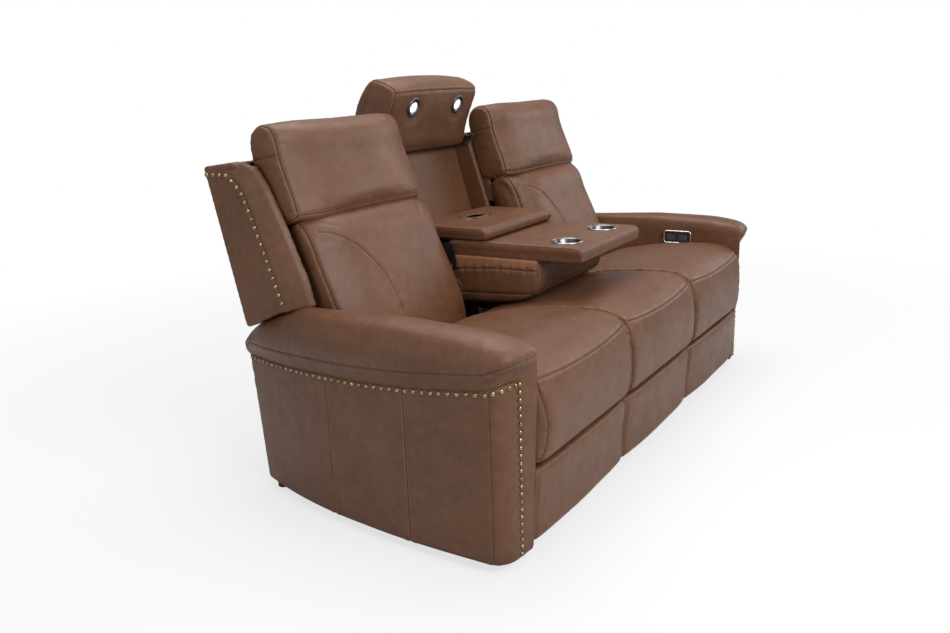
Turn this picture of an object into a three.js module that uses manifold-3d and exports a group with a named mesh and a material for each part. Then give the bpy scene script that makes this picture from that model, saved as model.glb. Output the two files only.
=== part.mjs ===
// A three seat reclining sofa in millimetres: +Z up, +X to the right seen from the front, the seats face -Y.
// The origin is on the floor under the middle foot. Side pieces are built for +X and mirrored for -X.
import * as THREE from 'three';
import { mergeVertices } from 'three/addons/utils/BufferGeometryUtils.js';
import Module from 'manifold-3d';

const wasm = await Module();
wasm.setup();

// Driving dimensions of the whole sofa
const seatPitch = 604;
const armThickness = 125;
const fitGap = 0.3;
const softGap = 1.2;
const cutOverrun = 40;
const outerSeats = 1;
const innerHalf = seatPitch * (outerSeats + 1 / 2);
const armOuter = innerHalf + armThickness;
const seatCentre = seatPitch * outerSeats;

// Levels above the floor
const floorGap = 27;
const panelBottom = 43;
const railBottom = 30;
const railHeight = 30;
const plateTop = 255;
const seatFrameHeight = 62;
const seatFrameBottom = plateTop + fitGap;
const seatFrameTop = seatFrameBottom + seatFrameHeight;

// Small helpers for geometry
const tubeSides = 10;
const pivotSides = 12;
const radians = THREE.MathUtils.degToRad;

function soft(color) {
  return new THREE.MeshStandardMaterial({ color, roughness: 0.52, metalness: 0 });
}

function metal(color, roughness) {
  return new THREE.MeshStandardMaterial({ color, roughness, metalness: 1 });
}

const leather = soft(0x6e4a3b);
const darkLeather = soft(0x5f3d31);
const timber = new THREE.MeshStandardMaterial({ color: 0xb08a5a, roughness: 0.7, metalness: 0 });
const blackSteel = metal(0x1c1c1e, 0.45);
const zincSteel = metal(0x8d9093, 0.4);
const agedBrass = metal(0x9c8458, 0.35);
const brushedSteel = metal(0xb9b8b4, 0.25);
const blackPlastic = new THREE.MeshStandardMaterial({ color: 0x141416, roughness: 0.4, metalness: 0 });

function welded(geometry) {
  const plain = geometry.clone();
  plain.deleteAttribute('normal');
  plain.deleteAttribute('uv');
  return mergeVertices(plain, 1e-4);
}

function toSolid(geometry) {
  const merged = welded(geometry);
  const vertProperties = new Float32Array(merged.attributes.position.array);
  const triVerts = new Uint32Array(merged.index.array);
  return new wasm.Manifold(new wasm.Mesh({ numProp: 3, vertProperties, triVerts }));
}

function toGeometry(solid) {
  const mesh = solid.getMesh();
  const geometry = new THREE.BufferGeometry();
  geometry.setAttribute('position', new THREE.BufferAttribute(new Float32Array(mesh.vertProperties), 3));
  geometry.setIndex(new THREE.BufferAttribute(new Uint32Array(mesh.triVerts), 1));
  return geometry;
}

function join(parts) {
  return toGeometry(parts.map(toSolid).reduce((all, next) => all.add(next)));
}

function cut(body, tools) {
  return toGeometry(tools.map(toSolid).reduce((rest, tool) => rest.subtract(tool), toSolid(body)));
}

function common(a, b) {
  return toGeometry(toSolid(a).intersect(toSolid(b)));
}

// A mirrored copy about the middle plane, with its faces still pointing out
function mirrored(geometry) {
  const copy = welded(geometry.index ? geometry : mergeVertices(geometry));
  copy.scale(-1, 1, 1);
  const index = copy.index.array;
  for (let i = 0; i < index.length; i += 3) {
    const first = index[i];
    index[i] = index[i + 1];
    index[i + 1] = first;
  }
  return copy;
}

function moved(geometry, x, y, z) {
  return geometry.clone().translate(x, y, z);
}

function block(x0, x1, y0, y1, z0, z1) {
  const box = new THREE.BoxGeometry(x1 - x0, y1 - y0, z1 - z0);
  return box.translate((x0 + x1) / 2, (y0 + y1) / 2, (z0 + z1) / 2);
}

// A side outline of [y, z] points, carried from x0 to x1
function sidePrism(points, x0, x1) {
  const shape = new THREE.Shape(points.map(([y, z]) => new THREE.Vector2(y, z)));
  const solid = new THREE.ExtrudeGeometry(shape, { depth: x1 - x0, bevelEnabled: false });
  const axes = new THREE.Matrix4().makeBasis(
    new THREE.Vector3(0, 1, 0), new THREE.Vector3(0, 0, 1), new THREE.Vector3(1, 0, 0));
  return solid.applyMatrix4(axes).translate(x0, 0, 0);
}

// A plan outline of [x, y] points, carried from z0 up to z1
function planPrism(points, z0, z1) {
  const shape = new THREE.Shape(points.map(([x, y]) => new THREE.Vector2(x, y)));
  return new THREE.ExtrudeGeometry(shape, { depth: z1 - z0, bevelEnabled: false }).translate(0, 0, z0);
}

function crossRod(x0, x1, y, z, radius, sides = tubeSides) {
  const rod = new THREE.CylinderGeometry(radius, radius, x1 - x0, sides);
  return rod.rotateZ(Math.PI / 2).translate((x0 + x1) / 2, y, z);
}

function post(x, y, z0, z1, radius, sides = tubeSides) {
  const rod = new THREE.CylinderGeometry(radius, radius, z1 - z0, sides);
  return rod.rotateX(Math.PI / 2).translate(x, y, (z0 + z1) / 2);
}

// Rings of equally many points, joined in order and closed by a flat cap at each end
function loft(rings) {
  const count = rings[0].length;
  const position = rings.flat(2);
  const index = [];
  for (let r = 0; r < rings.length - 1; r += 1) {
    for (let i = 0; i < count; i += 1) {
      const a = r * count + i;
      const b = r * count + (i + 1) % count;
      index.push(a, b, b + count, a, b + count, a + count);
    }
  }
  const caps = [[0, rings[0], true], [(rings.length - 1) * count, rings[rings.length - 1], false]];
  for (const [base, ring, reversed] of caps) {
    const spread = [0, 1, 2].map((k) => {
      const values = ring.map((p) => p[k]);
      return Math.max(...values) - Math.min(...values);
    });
    const flat = spread.indexOf(Math.min(...spread));
    const [u, v] = [[1, 2], [2, 0], [0, 1]][flat];
    const outline = ring.map((p) => new THREE.Vector2(p[u], p[v]));
    const clockwise = THREE.ShapeUtils.isClockWise(outline);
    const faces = THREE.ShapeUtils.triangulateShape(clockwise ? outline.slice().reverse() : outline, []);
    const at = (i) => base + (clockwise ? count - 1 - i : i);
    for (const [a, b, c] of faces) {
      const turned = reversed !== clockwise;
      index.push(...(turned ? [at(a), at(c), at(b)] : [at(a), at(b), at(c)]));
    }
  }
  const geometry = new THREE.BufferGeometry();
  geometry.setAttribute('position', new THREE.Float32BufferAttribute(position, 3));
  geometry.setIndex(index);
  return facingOut(geometry);
}

function signedVolume(geometry) {
  const p = geometry.attributes.position;
  const index = geometry.index.array;
  const [a, b, c] = [new THREE.Vector3(), new THREE.Vector3(), new THREE.Vector3()];
  let total = 0;
  for (let i = 0; i < index.length; i += 3) {
    a.fromBufferAttribute(p, index[i]);
    b.fromBufferAttribute(p, index[i + 1]);
    c.fromBufferAttribute(p, index[i + 2]);
    total += a.dot(b.cross(c)) / 6;
  }
  return total;
}

function facingOut(geometry) {
  if (signedVolume(geometry) > 0) return geometry;
  const index = geometry.index.array;
  for (let i = 0; i < index.length; i += 3) [index[i], index[i + 1]] = [index[i + 1], index[i]];
  return geometry;
}

// The outward normal of an outline at each of its points
function outwardNormals(points) {
  const area = THREE.ShapeUtils.area(points.map(([u, v]) => new THREE.Vector2(u, v)));
  const turn = area > 0 ? 1 : -1;
  return points.map((p, i) => {
    const before = points[(i + points.length - 1) % points.length];
    const after = points[(i + 1) % points.length];
    const du = after[0] - before[0];
    const dv = after[1] - before[1];
    const size = Math.hypot(du, dv);
    return [turn * dv / size, -turn * du / size];
  });
}

// The rounded end of a cushion: how far in and how far along, as shares of the edge radius
const edgeShares = [[1, 0], [0.5, 0.12], [0.18, 0.4], [0, 1]];
const crownStationShares = [0.1, 0.3, 0.5, 0.7, 0.9];
const crownPower = 2.6;

// A cushion: a side outline carried across x, with rounded ends and a crown towards one direction
function cushion(points, x0, x1, edge, crown, towards) {
  const normals = outwardNormals(points);
  const length = Math.hypot(...towards);
  const lift = normals.map(([u, v]) => Math.max(0, (u * towards[0] + v * towards[1]) / length));
  const stations = edgeShares.map(([inward, along]) => [x0 + along * edge, -inward * edge]);
  if (crown > 0) crownStationShares.forEach((share) => stations.push([x0 + share * (x1 - x0), 0]));
  edgeShares.slice().reverse().forEach(([inward, along]) => {
    stations.push([x1 - along * edge, -inward * edge]);
  });
  return loft(stations.map(([x, inset]) => {
    const across = Math.abs(2 * x - x0 - x1) / (x1 - x0);
    const rise = crown * (1 - across ** crownPower);
    return points.map(([y, z], i) => {
      const out = inset + (inset < 0 ? 0 : rise * lift[i]);
      return [x, y + normals[i][0] * out, z + normals[i][1] * out];
    });
  }));
}

// Shares of a piece's depth and height, placed from its front lower corner
function placed(shares, y0, z0, depth, height) {
  return shares.map(([u, v]) => [y0 + u * depth, z0 + v * height]);
}

// Points given along a leaning axis: how far behind it and how far up it
function leaning(points, y0, z0, lean) {
  const c = Math.cos(radians(lean));
  const s = Math.sin(radians(lean));
  return points.map(([back, up]) => [y0 + back * c + up * s, z0 - back * s + up * c]);
}

// A piece built upright about its foot, then leant back about it
function leaned(geometry, [y0, z0], lean) {
  return geometry.clone().rotateX(-radians(lean)).translate(0, y0, z0);
}

const scene = new THREE.Group();

function add(name, geometry, material) {
  const mesh = new THREE.Mesh(welded(geometry), material);
  mesh.name = name;
  scene.add(mesh);
}

function addPair(name, geometry, material) {
  add(`right_${name}`, geometry, material);
  add(`left_${name}`, mirrored(geometry), material);
}

// Arms

const armFront = -453;
const armRear = 505;
const armRearLean = 30;
const cornerDepth = 53;
const cornerWidth = 62;
const sideTaper = 150;
const taperPower = 2.55;
const armWall = 16;
const nailTop = 507;
const nailFall = 87;
const padRear = 545;
const padCrest = 642;
const padFall = 165;
const taperStart = armFront + cornerDepth;

// Stations along the arm: place, fall of the nail line, fall of the crest, closing of the outer side
const armStationShares = [
  [0, 0, 0.11, 0.02], [0.053, 0.184, 0.05, 0], [0.203, 0.379, 0.01, 0], [0.311, 0.506, 0, 0],
  [0.454, 0.62, 0.01, 0], [0.595, 0.7, 0.05, 0], [0.704, 0.775, 0.13, 0], [0.795, 0.85, 0.3, 0],
  [0.885, 0.915, 0.53, 0], [0.955, 0.965, 0.8, 0.1], [1, 1, 1, 0.6]];

function armY(share) {
  return armFront + share * (padRear - armFront);
}

// The arm's outer face narrows towards the rear in a smooth curve
function armSide(y) {
  const along = Math.max(0, (y - taperStart) / (armRear - taperStart));
  return armOuter - sideTaper * along ** taperPower;
}

// The nail line's height between the stations
function nailHeight(y) {
  const share = (y - armFront) / (padRear - armFront);
  const next = armStationShares.findIndex(([along]) => along >= share);
  if (next < 1) return next === 0 ? nailTop : nailTop - nailFall;
  const [a, b] = [armStationShares[next - 1], armStationShares[next]];
  const drop = a[1] + (b[1] - a[1]) * (share - a[0]) / (b[0] - a[0]);
  return nailTop - nailFall * drop;
}

const armRearWidth = 46;
const innerBendY = 270;

function armInner(y) {
  const narrow = armSide(armRear) - armRearWidth;
  const along = Math.max(0, (y - innerBendY) / (armRear - innerBendY));
  return innerHalf - (innerHalf - narrow) * along;
}

const cornerSteps = 4;
const sideSteps = 8;

function armPlan(inset, rearY) {
  const plan = [[innerHalf + inset, armFront + inset]];
  for (let i = 0; i <= cornerSteps; i += 1) {
    const turn = (i / cornerSteps) * Math.PI / 2;
    plan.push([
      armOuter - cornerWidth + (cornerWidth - inset) * Math.sin(turn),
      taperStart - (cornerDepth - inset) * Math.cos(turn)]);
  }
  for (let i = 1; i <= sideSteps; i += 1) {
    const y = taperStart + (i / sideSteps) * (rearY - taperStart);
    plan.push([armSide(y) - inset, y]);
  }
  plan.push([armInner(rearY) + inset, rearY]);
  plan.push([innerHalf + inset, innerBendY]);
  return plan;
}

// The upholstered arm panel: board walls on two feet, open below, with the pad's seat as its top
const footRadius = 18;
const footInset = 60;
const armLid = 18;
const armPanel = (() => {
  const rear = armRear + armRearLean;
  const [low, high] = [innerHalf - armThickness, armOuter + cutOverrun];
  const line = armStationShares.map(([along]) => [armY(along), nailHeight(armY(along))]);
  const above = (drop) => [
    [armFront - cutOverrun, nailTop - drop], ...line.map(([y, z]) => [y, z - drop]),
    [padRear + cutOverrun, nailTop - nailFall - drop],
    [padRear + cutOverrun, nailTop + cutOverrun], [armFront - cutOverrun, nailTop + cutOverrun]];
  const behind = (inset) => [
    [armRear - inset, floorGap - cutOverrun], [armRear - inset, floorGap], [rear - inset, nailTop],
    [rear + cutOverrun, nailTop], [rear + cutOverrun, floorGap - cutOverrun]];
  const shell = cut(planPrism(armPlan(0, rear), floorGap, nailTop), [
    sidePrism(above(0), low, high), sidePrism(behind(0), low, high)]);
  const room = cut(planPrism(armPlan(armWall, rear), floorGap - cutOverrun, nailTop), [
    sidePrism(above(armLid), low, high), sidePrism(behind(armWall), low, high)]);
  const places = [armFront + footInset, armRear - footInset];
  const middle = (y) => (armSide(y) + armInner(y)) / 2;
  const feet = places.map((y) => post(middle(y), y, 0, floorGap + armWall, footRadius));
  const reach = planPrism(armPlan(armWall / 2, armRear - armWall), floorGap - cutOverrun, nailTop);
  const bridges = places.map((y) => common(reach, block(
    middle(y) - armThickness, middle(y) + armThickness, y - footInset / 2, y + footInset / 2,
    floorGap, floorGap + armWall)));
  return join([cut(shell, [room]), ...bridges, ...feet]);
})();
addPair('arm_panel', armPanel, leather);

// The padded arm top, with a front roll that hangs over the panel and a rear that slopes down
const padOverhang = 20;
const weltLift = 47;
const padRearTuck = 40;
const padNose = 52;
// Rings of the front roll: how far forward, and how far the underside and the crest have met
const noseShares = [[1, 0.62], [0.85, 0.25], [0.45, 0.06]];
// Points of the pad's section: across from the inner face, and up from the welt
const padSectionShares = [
  [1, 0], [1.02, 0.3], [0.97, 0.62], [0.83, 0.88], [0.6, 0.99], [0.36, 1], [0.15, 0.93], [0.03, 0.76],
  [0, 0.5]];
const armPad = (() => {
  const ring = (y, base, welt, top, outer) => {
    const inner = armInner(y);
    const upper = padSectionShares.map(([u, v]) => [
      inner + u * (outer - inner), y, welt + v * (top - welt)]);
    return [[inner, y, base], [outer - padOverhang, y, base], ...upper];
  };
  const frontCrest = padCrest - padFall * armStationShares[0][2];
  const nose = noseShares.map(([forward, closed]) => {
    const welt = nailTop + weltLift;
    const middle = welt + closed * (frontCrest - welt) / 2;
    const top = frontCrest - closed * (frontCrest - welt) / 2;
    const outer = armOuter + padOverhang - forward * cornerWidth * (1 / 2 + closed);
    return ring(armFront - forward * padNose, middle - softGap, middle, top, outer);
  });
  const along = armStationShares.map(([share, , fall, closed]) => {
    const y = armY(share);
    const base = nailHeight(y) + fitGap;
    const top = padCrest - padFall * fall;
    const welt = Math.min(base + weltLift, (base + top) / 2);
    const corner = share === 0 ? cornerWidth / 2 : 0;
    return ring(y, base, welt, top, armSide(y) + padOverhang - closed * padRearTuck - corner);
  });
  return loft([...nose, ...along]);
})();
addPair('arm_pad', armPad, leather);

// Decorative nails: a thin strip whose cells rise to a low head each
const nailStripWidth = 11;
const nailStripThickness = 1.2;
const nailHeadHeight = 5;
const nailSink = 3;

function nailStrip(centres, normals, sink) {
  const count = centres.length;
  const points = centres.map((p) => new THREE.Vector3(...p));
  const faces = normals.map((n) => new THREE.Vector3(...n).normalize());
  const position = [];
  const push = (v) => position.push(v.x, v.y, v.z);
  for (let j = 0; j <= count; j += 1) {
    const before = points[Math.max(0, j - 1)];
    const after = points[Math.min(count - 1, j)];
    const normal = faces[Math.max(0, j - 1)].clone().add(faces[Math.min(count - 1, j)]).normalize();
    let place = before.clone().add(after).multiplyScalar(1 / 2);
    let tangent = after.clone().sub(before);
    if (j === 0) tangent = points[1].clone().sub(points[0]);
    if (j === count) tangent = points[count - 1].clone().sub(points[count - 2]);
    if (j === 0) place = points[0].clone().addScaledVector(tangent, -1 / 2);
    if (j === count) place = points[count - 1].clone().addScaledVector(tangent, 1 / 2);
    const side = normal.clone().cross(tangent).normalize().multiplyScalar(nailStripWidth / 2);
    const base = place.addScaledVector(normal, fitGap - sink);
    const top = base.clone().addScaledVector(normal, sink + nailStripThickness);
    for (const level of [base, top]) {
      push(level.clone().add(side));
      push(level.clone().sub(side));
    }
  }
  points.forEach((p, i) => push(p.clone().addScaledVector(faces[i], fitGap + nailHeadHeight)));
  const index = [];
  const quad = (a, b, c, d) => index.push(a, b, c, a, c, d);
  for (let j = 0; j < count; j += 1) {
    const [bl, br, tl, tr] = [0, 1, 2, 3].map((k) => 4 * j + k);
    const apex = 4 * (count + 1) + j;
    quad(bl, bl + 4, br + 4, br);
    quad(bl, tl, tl + 4, bl + 4);
    quad(br, br + 4, tr + 4, tr);
    index.push(tl, tr, apex, tr, tr + 4, apex, tr + 4, tl + 4, apex, tl + 4, tl, apex);
  }
  quad(0, 1, 3, 2);
  const last = 4 * count;
  quad(last, last + 2, last + 3, last + 1);
  const geometry = new THREE.BufferGeometry();
  geometry.setAttribute('position', new THREE.Float32BufferAttribute(position, 3));
  geometry.setIndex(index);
  return facingOut(geometry);
}

const sideNails = 35;
const cornerNails = 4;
const columnNails = 23;
const columnEdge = 12;
const nailInset = 9;
const columnX = armOuter - cornerWidth - columnEdge;
const armNails = (() => {
  const centres = [];
  const normals = [];
  const sideEnd = armRear + armRearLean - 2 * nailInset;
  for (let i = 0; i < sideNails; i += 1) {
    const y = sideEnd + (i / sideNails) * (taperStart - sideEnd);
    const slope = armSide(y - nailInset) - armSide(y + nailInset);
    centres.push([armSide(y), y, nailHeight(y) - nailInset]);
    normals.push([2 * nailInset, slope, 0]);
  }
  for (let i = 0; i <= cornerNails; i += 1) {
    const turn = (1 - i / cornerNails) * Math.PI / 2;
    const y = taperStart - cornerDepth * Math.cos(turn);
    centres.push([armOuter - cornerWidth + cornerWidth * Math.sin(turn), y, nailHeight(y) - nailInset]);
    normals.push([Math.sin(turn), -Math.cos(turn), 0]);
  }
  const columnHead = nailTop - nailInset;
  const columnFoot = floorGap + nailInset;
  for (let i = 0; i < columnNails; i += 1) {
    centres.push([columnX, armFront, columnHead - (i / (columnNails - 1)) * (columnHead - columnFoot)]);
    normals.push([0, -1, 0]);
  }
  return cut(nailStrip(centres, normals, nailSink), [
    planPrism(armPlan(-fitGap, armRear + armRearLean), -cutOverrun, nailTop + cutOverrun)]);
})();
addPair('arm_nails', armNails, agedBrass);

// The power switch panel let into each arm's inner face, with its two rocker keys
const panelLength = 118;
const panelHeight = 52;
const panelY = -215;
const panelZ = 540;
const panelProud = 5;
const panelCorner = 12;
const keyLength = 38;
const keyHeight = 24;
const keySpacing = 50;
const keyProud = 3;
const keyGap = 0.6;
const keySink = 3.6;
const keySwing = 2.2;

function roundedOutline(y, z, length, height, corner) {
  const points = [];
  const steps = 3;
  for (const [sy, sz, start] of [[1, 1, 0], [-1, 1, 1], [-1, -1, 2], [1, -1, 3]]) {
    for (let i = 0; i <= steps; i += 1) {
      const turn = (start + i / steps) * Math.PI / 2;
      points.push([
        y + sy * (length / 2 - corner) + corner * Math.cos(turn),
        z + sz * (height / 2 - corner) + corner * Math.sin(turn)]);
    }
  }
  return points;
}

const keyPlaces = [['recline_key', panelY - keySpacing / 2], ['headrest_key', panelY + keySpacing / 2]];
const switchFace = innerHalf - fitGap;
const switchPanel = cut(
  sidePrism(
    roundedOutline(panelY, panelZ, panelLength, panelHeight, panelCorner),
    switchFace - panelProud, switchFace),
  keyPlaces.map(([, y]) => block(
    switchFace - panelProud - cutOverrun, switchFace - panelProud + keySink,
    y - keyLength / 2 - keyGap, y + keyLength / 2 + keyGap,
    panelZ - keyHeight / 2 - keyGap, panelZ + keyHeight / 2 + keyGap)));
addPair('switch_panel', switchPanel, blackPlastic);
keyPlaces.forEach(([name, y]) => {
  const face = switchFace - panelProud + keySink - keySwing;
  const key = sidePrism([
    [y - keyLength / 2, panelZ - keyHeight / 2], [y + keyLength / 2, panelZ - keyHeight / 2],
    [y + keyLength / 2, panelZ + keyHeight / 2], [y - keyLength / 2, panelZ + keyHeight / 2]],
    face - keyProud, face);
  addPair(name, key, blackPlastic);
});

// Base rails on glides, with the fixed lower panel across the rear
const railWidth = 40;
const frontRailY = -120;
const rearRailY = 300;
const railInset = 30;
const railReach = innerHalf - railInset;
const stringerInset = 18;
const stringerX = seatPitch / 2 - stringerInset;
const stringerWidth = 24;
const panelInner = -425;
const rearPanelY = 430;
const rearPanelThickness = 12;
const rearPanelTop = 262;
const rearPanelInset = 72;
const rearPanelHalf = innerHalf - rearPanelInset;
const glideRadius = 20;
const railTop = railBottom + railHeight;
const baseRails = (() => {
  const bar = (x, width, y0, y1) => block(x - width / 2, x + width / 2, y0, y1, railBottom, railTop);
  const cross = (y) => block(
    -railReach, railReach, y - railWidth / 2, y + railWidth / 2, railBottom, railTop);
  const glides = [[0, 0]];
  for (const y of [frontRailY, rearRailY]) {
    for (const x of [-seatCentre, seatCentre]) glides.push([x, y]);
  }
  return join([
    cross(frontRailY), cross(rearRailY),
    bar(-stringerX, stringerWidth, panelInner + fitGap, rearPanelY),
    bar(stringerX, stringerWidth, panelInner + fitGap, rearPanelY),
    bar(0, railWidth, frontRailY, rearRailY),
    block(
      -rearPanelHalf, rearPanelHalf, rearPanelY, rearPanelY + rearPanelThickness, railBottom, rearPanelTop),
    ...glides.map(([x, y]) => post(x, y, 0, railBottom + railHeight / 2, glideRadius))]);
})();
add('base_rails', baseRails, blackSteel);

// The inlet for the power lead, on the rear panel
const inletX = -seatCentre;
const inletZ = 110;
const inletWidth = 34;
const inletHeight = 24;
const inletDepth = 14;
const inletWall = 4;
const inletFace = rearPanelY + rearPanelThickness + fitGap;
const contactRadius = 2;
const powerInlet = (() => {
  const shell = block(
    inletX - inletWidth / 2, inletX + inletWidth / 2, inletFace, inletFace + inletDepth,
    inletZ - inletHeight / 2, inletZ + inletHeight / 2);
  const room = block(
    inletX - inletWidth / 2 + inletWall, inletX + inletWidth / 2 - inletWall,
    inletFace + inletWall, inletFace + cutOverrun,
    inletZ - inletHeight / 2 + inletWall, inletZ + inletHeight / 2 - inletWall);
  const contact = (side) => {
    const pin = new THREE.CylinderGeometry(contactRadius, contactRadius, inletDepth - inletWall, tubeSides);
    return moved(pin, inletX + side * inletWidth / 5, inletFace + inletDepth / 2, inletZ);
  };
  return join([cut(shell, [room]), contact(-1), contact(1)]);
})();
add('power_inlet', powerInlet, blackPlastic);

// Footrest linkage: pivots in the side plane, with the footrest closed
const liftPivot = [-300, 215];
const elbowPivot = [-166, 81];
const panelPivot = [-408, 125];
const backPivot = [295, 250];
const plateRoom = 40;
const plateInner = seatPitch / 2 - plateRoom;
const plateThickness = 6;
const linkThickness = 5;
const linkGap = 1;
const linkHalfWidth = 12;
const pinRadius = 5;
const liftTube = 10;
const panelTube = 8;
const holeGap = 0.4;
const lowerLinkInner = plateInner - 2 * linkGap - 2 * linkThickness;
const upperLinkInner = lowerLinkInner - linkGap - linkThickness;
const bracketInner = upperLinkInner - linkGap - linkThickness;

function linkBar(a, b, x0, x1) {
  const turn = Math.atan2(b[1] - a[1], b[0] - a[0]);
  const steps = 6;
  const points = [];
  for (const [centre, start] of [[b, turn - Math.PI / 2], [a, turn + Math.PI / 2]]) {
    for (let i = 0; i <= steps; i += 1) {
      const angle = start + (i / steps) * Math.PI;
      points.push([
        centre[0] + linkHalfWidth * Math.cos(angle), centre[1] + linkHalfWidth * Math.sin(angle)]);
    }
  }
  return sidePrism(points, x0, x1);
}

function bothSides(build, inner, thickness) {
  return [
    build(seatCentre - inner - thickness, seatCentre - inner),
    build(seatCentre + inner, seatCentre + inner + thickness)];
}

function hole([y, z], radius) {
  return crossRod(seatCentre - seatPitch, seatCentre + seatPitch, y, z, radius + holeGap, pivotSides);
}

// Steel base of each reclining seat: two side plates tied by tubes
const plateFront = -318;
const plateRear = 340;
const plateStep = 240;
const plateRise = 25;
const tieRadius = 9;
const tieInset = 60;
const reclinerBase = (() => {
  const bottom = railTop + fitGap;
  const outline = [
    [plateFront, plateTop - liftTube * 7], [plateFront + tieInset * 2, bottom], [plateRear, bottom],
    [plateRear, plateTop + plateRise], [plateStep, plateTop + plateRise], [plateStep - plateRise, plateTop],
    [plateFront, plateTop]];
  const plates = bothSides((x0, x1) => sidePrism(outline, x0, x1), plateInner, plateThickness);
  const tie = (y, z) => crossRod(
    seatCentre - plateInner - linkGap, seatCentre + plateInner + linkGap, y, z, tieRadius);
  const solid = join([
    ...plates, tie(plateStep - tieInset, plateTop - tieInset / 2), tie(frontRailY, plateTop - tieInset / 2),
    tie(plateRear - tieInset, bottom + 2 * tieInset)]);
  return cut(solid, [hole(liftPivot, liftTube), hole(backPivot, liftTube)]);
})();
addPair('recliner_base', reclinerBase, blackSteel);

const lowerLinks = join([
  ...bothSides((x0, x1) => linkBar(liftPivot, elbowPivot, x0, x1), lowerLinkInner, linkThickness),
  crossRod(
    seatCentre - plateInner - 2 * plateThickness, seatCentre + plateInner + 2 * plateThickness,
    ...liftPivot, liftTube, pivotSides),
  ...bothSides(
    (x0, x1) => crossRod(x0, x1, ...elbowPivot, pinRadius, pivotSides),
    upperLinkInner - linkGap / 2, linkThickness + linkGap * 2)]);
addPair('footrest_lower_links', lowerLinks, zincSteel);

const upperLinks = join([
  ...bothSides((x0, x1) => cut(linkBar(elbowPivot, panelPivot, x0, x1), [hole(elbowPivot, pinRadius)]),
    upperLinkInner, linkThickness),
  crossRod(
    seatCentre - upperLinkInner - linkGap, seatCentre + upperLinkInner + linkGap,
    ...panelPivot, panelTube, pivotSides)]);
addPair('footrest_upper_links', upperLinks, zincSteel);

// Padded front panels: a footrest on each side and a fixed one in the middle
const panelTop = 248;
const panelFront = -478;
const panelSideGap = 1.5;
const panelEdge = 9;
const panelCrown = 4;
const panelShares = [
  [1, 0], [0.35, 0], [0.24, 0.05], [0.17, 0.4], [0.06, 0.7], [0, 0.9], [0.08, 0.98], [0.3, 1], [1, 1]];
const panelBoxLength = panelInner - panelFront;
const panelBoxHeight = panelTop - panelBottom;

function frontPanel(x0, x1) {
  const outline = placed(panelShares, panelFront, panelBottom, panelBoxLength, panelBoxHeight);
  return cushion(outline, x0, x1, panelEdge, panelCrown, [-1, 0]);
}

const bracketReach = 14;
const bracketHeight = 44;
const footrestPanel = (() => {
  const [y, z] = panelPivot;
  const outline = [
    [panelInner - panelEdge, z - bracketHeight / 2], [y, z - bracketReach],
    [y + bracketReach, z - bracketReach / 2], [y + bracketReach, z + bracketReach / 2], [y, z + bracketReach],
    [panelInner - panelEdge, z + bracketHeight / 2]];
  const plates = bothSides(
    (x0, x1) => cut(sidePrism(outline, x0, x1), [hole(panelPivot, panelTube)]), bracketInner, linkThickness);
  return join([frontPanel(seatPitch / 2 + panelSideGap, innerHalf - panelSideGap), ...plates]);
})();
addPair('footrest_panel', footrestPanel, leather);
add('centre_front_panel', frontPanel(-seatPitch / 2 + panelSideGap, seatPitch / 2 - panelSideGap), leather);

// Motor on a track across the base rails, with a sliding carriage
const trackWidth = 30;
const trackHeight = 16;
const motorLength = 90;
const motorRadius = 32;
const carriageLength = 60;
const carriageWall = 6;
const carriageRest = 40;
const actuator = (() => {
  const bottom = railTop + fitGap;
  const front = frontRailY - railWidth / 2;
  const rear = rearRailY + railWidth / 2;
  const motor = new THREE.CylinderGeometry(motorRadius, motorRadius, motorLength, 12);
  return join([
    block(
      seatCentre - trackWidth / 2, seatCentre + trackWidth / 2, front, rear, bottom, bottom + trackHeight),
    moved(motor, seatCentre, rear - motorLength / 2, bottom + trackHeight + motorRadius - linkGap)]);
})();
addPair('actuator', actuator, blackPlastic);
const carriage = (() => {
  const bottom = railTop + fitGap;
  const gap = linkGap / 2;
  const half = trackWidth / 2 + gap;
  const top = bottom + trackHeight + gap;
  const saddle = block(
    seatCentre - half - carriageWall, seatCentre + half + carriageWall,
    carriageRest, carriageRest + carriageLength, bottom + trackHeight / 2, top + carriageWall);
  const lug = block(
    seatCentre - carriageWall, seatCentre + carriageWall, carriageRest, carriageRest + carriageLength / 2,
    top + carriageWall / 2, top + carriageLength / 2);
  const eye = crossRod(
    seatCentre - trackWidth, seatCentre + trackWidth, carriageRest + carriageLength / 4,
    top + carriageLength / 3, pinRadius);
  return join([
    cut(saddle, [block(
      seatCentre - half, seatCentre + half,
      carriageRest - cutOverrun, carriageRest + carriageLength + cutOverrun, bottom - cutOverrun, top)]),
    cut(lug, [eye])]);
})();
addPair('motor_carriage', carriage, zincSteel);

// Seat frames with sinuous springs, and the seat cushions over them
const seatFrameFront = -425;
const seatFrameRear = 60;
const centreFrameRear = 400;
const frameRail = 30;
const springCount = 4;
const springWaves = 6;
const springWire = 4;
const springSwing = 22;

function sinuousSpring(x, y0, y1, z) {
  const pitch = (y1 - y0) / springWaves;
  const left = [];
  const right = [];
  for (let i = 0; i <= springWaves; i += 1) {
    const ends = i === 0 || i === springWaves;
    const swing = ends ? 0 : springSwing * (i % 2 === 0 ? 1 : -1);
    left.push([x + swing - springWire, y0 + i * pitch]);
    right.push([x + swing + springWire, y0 + i * pitch]);
  }
  return planPrism([...right, ...left.reverse()], z - springWire, z);
}

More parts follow.
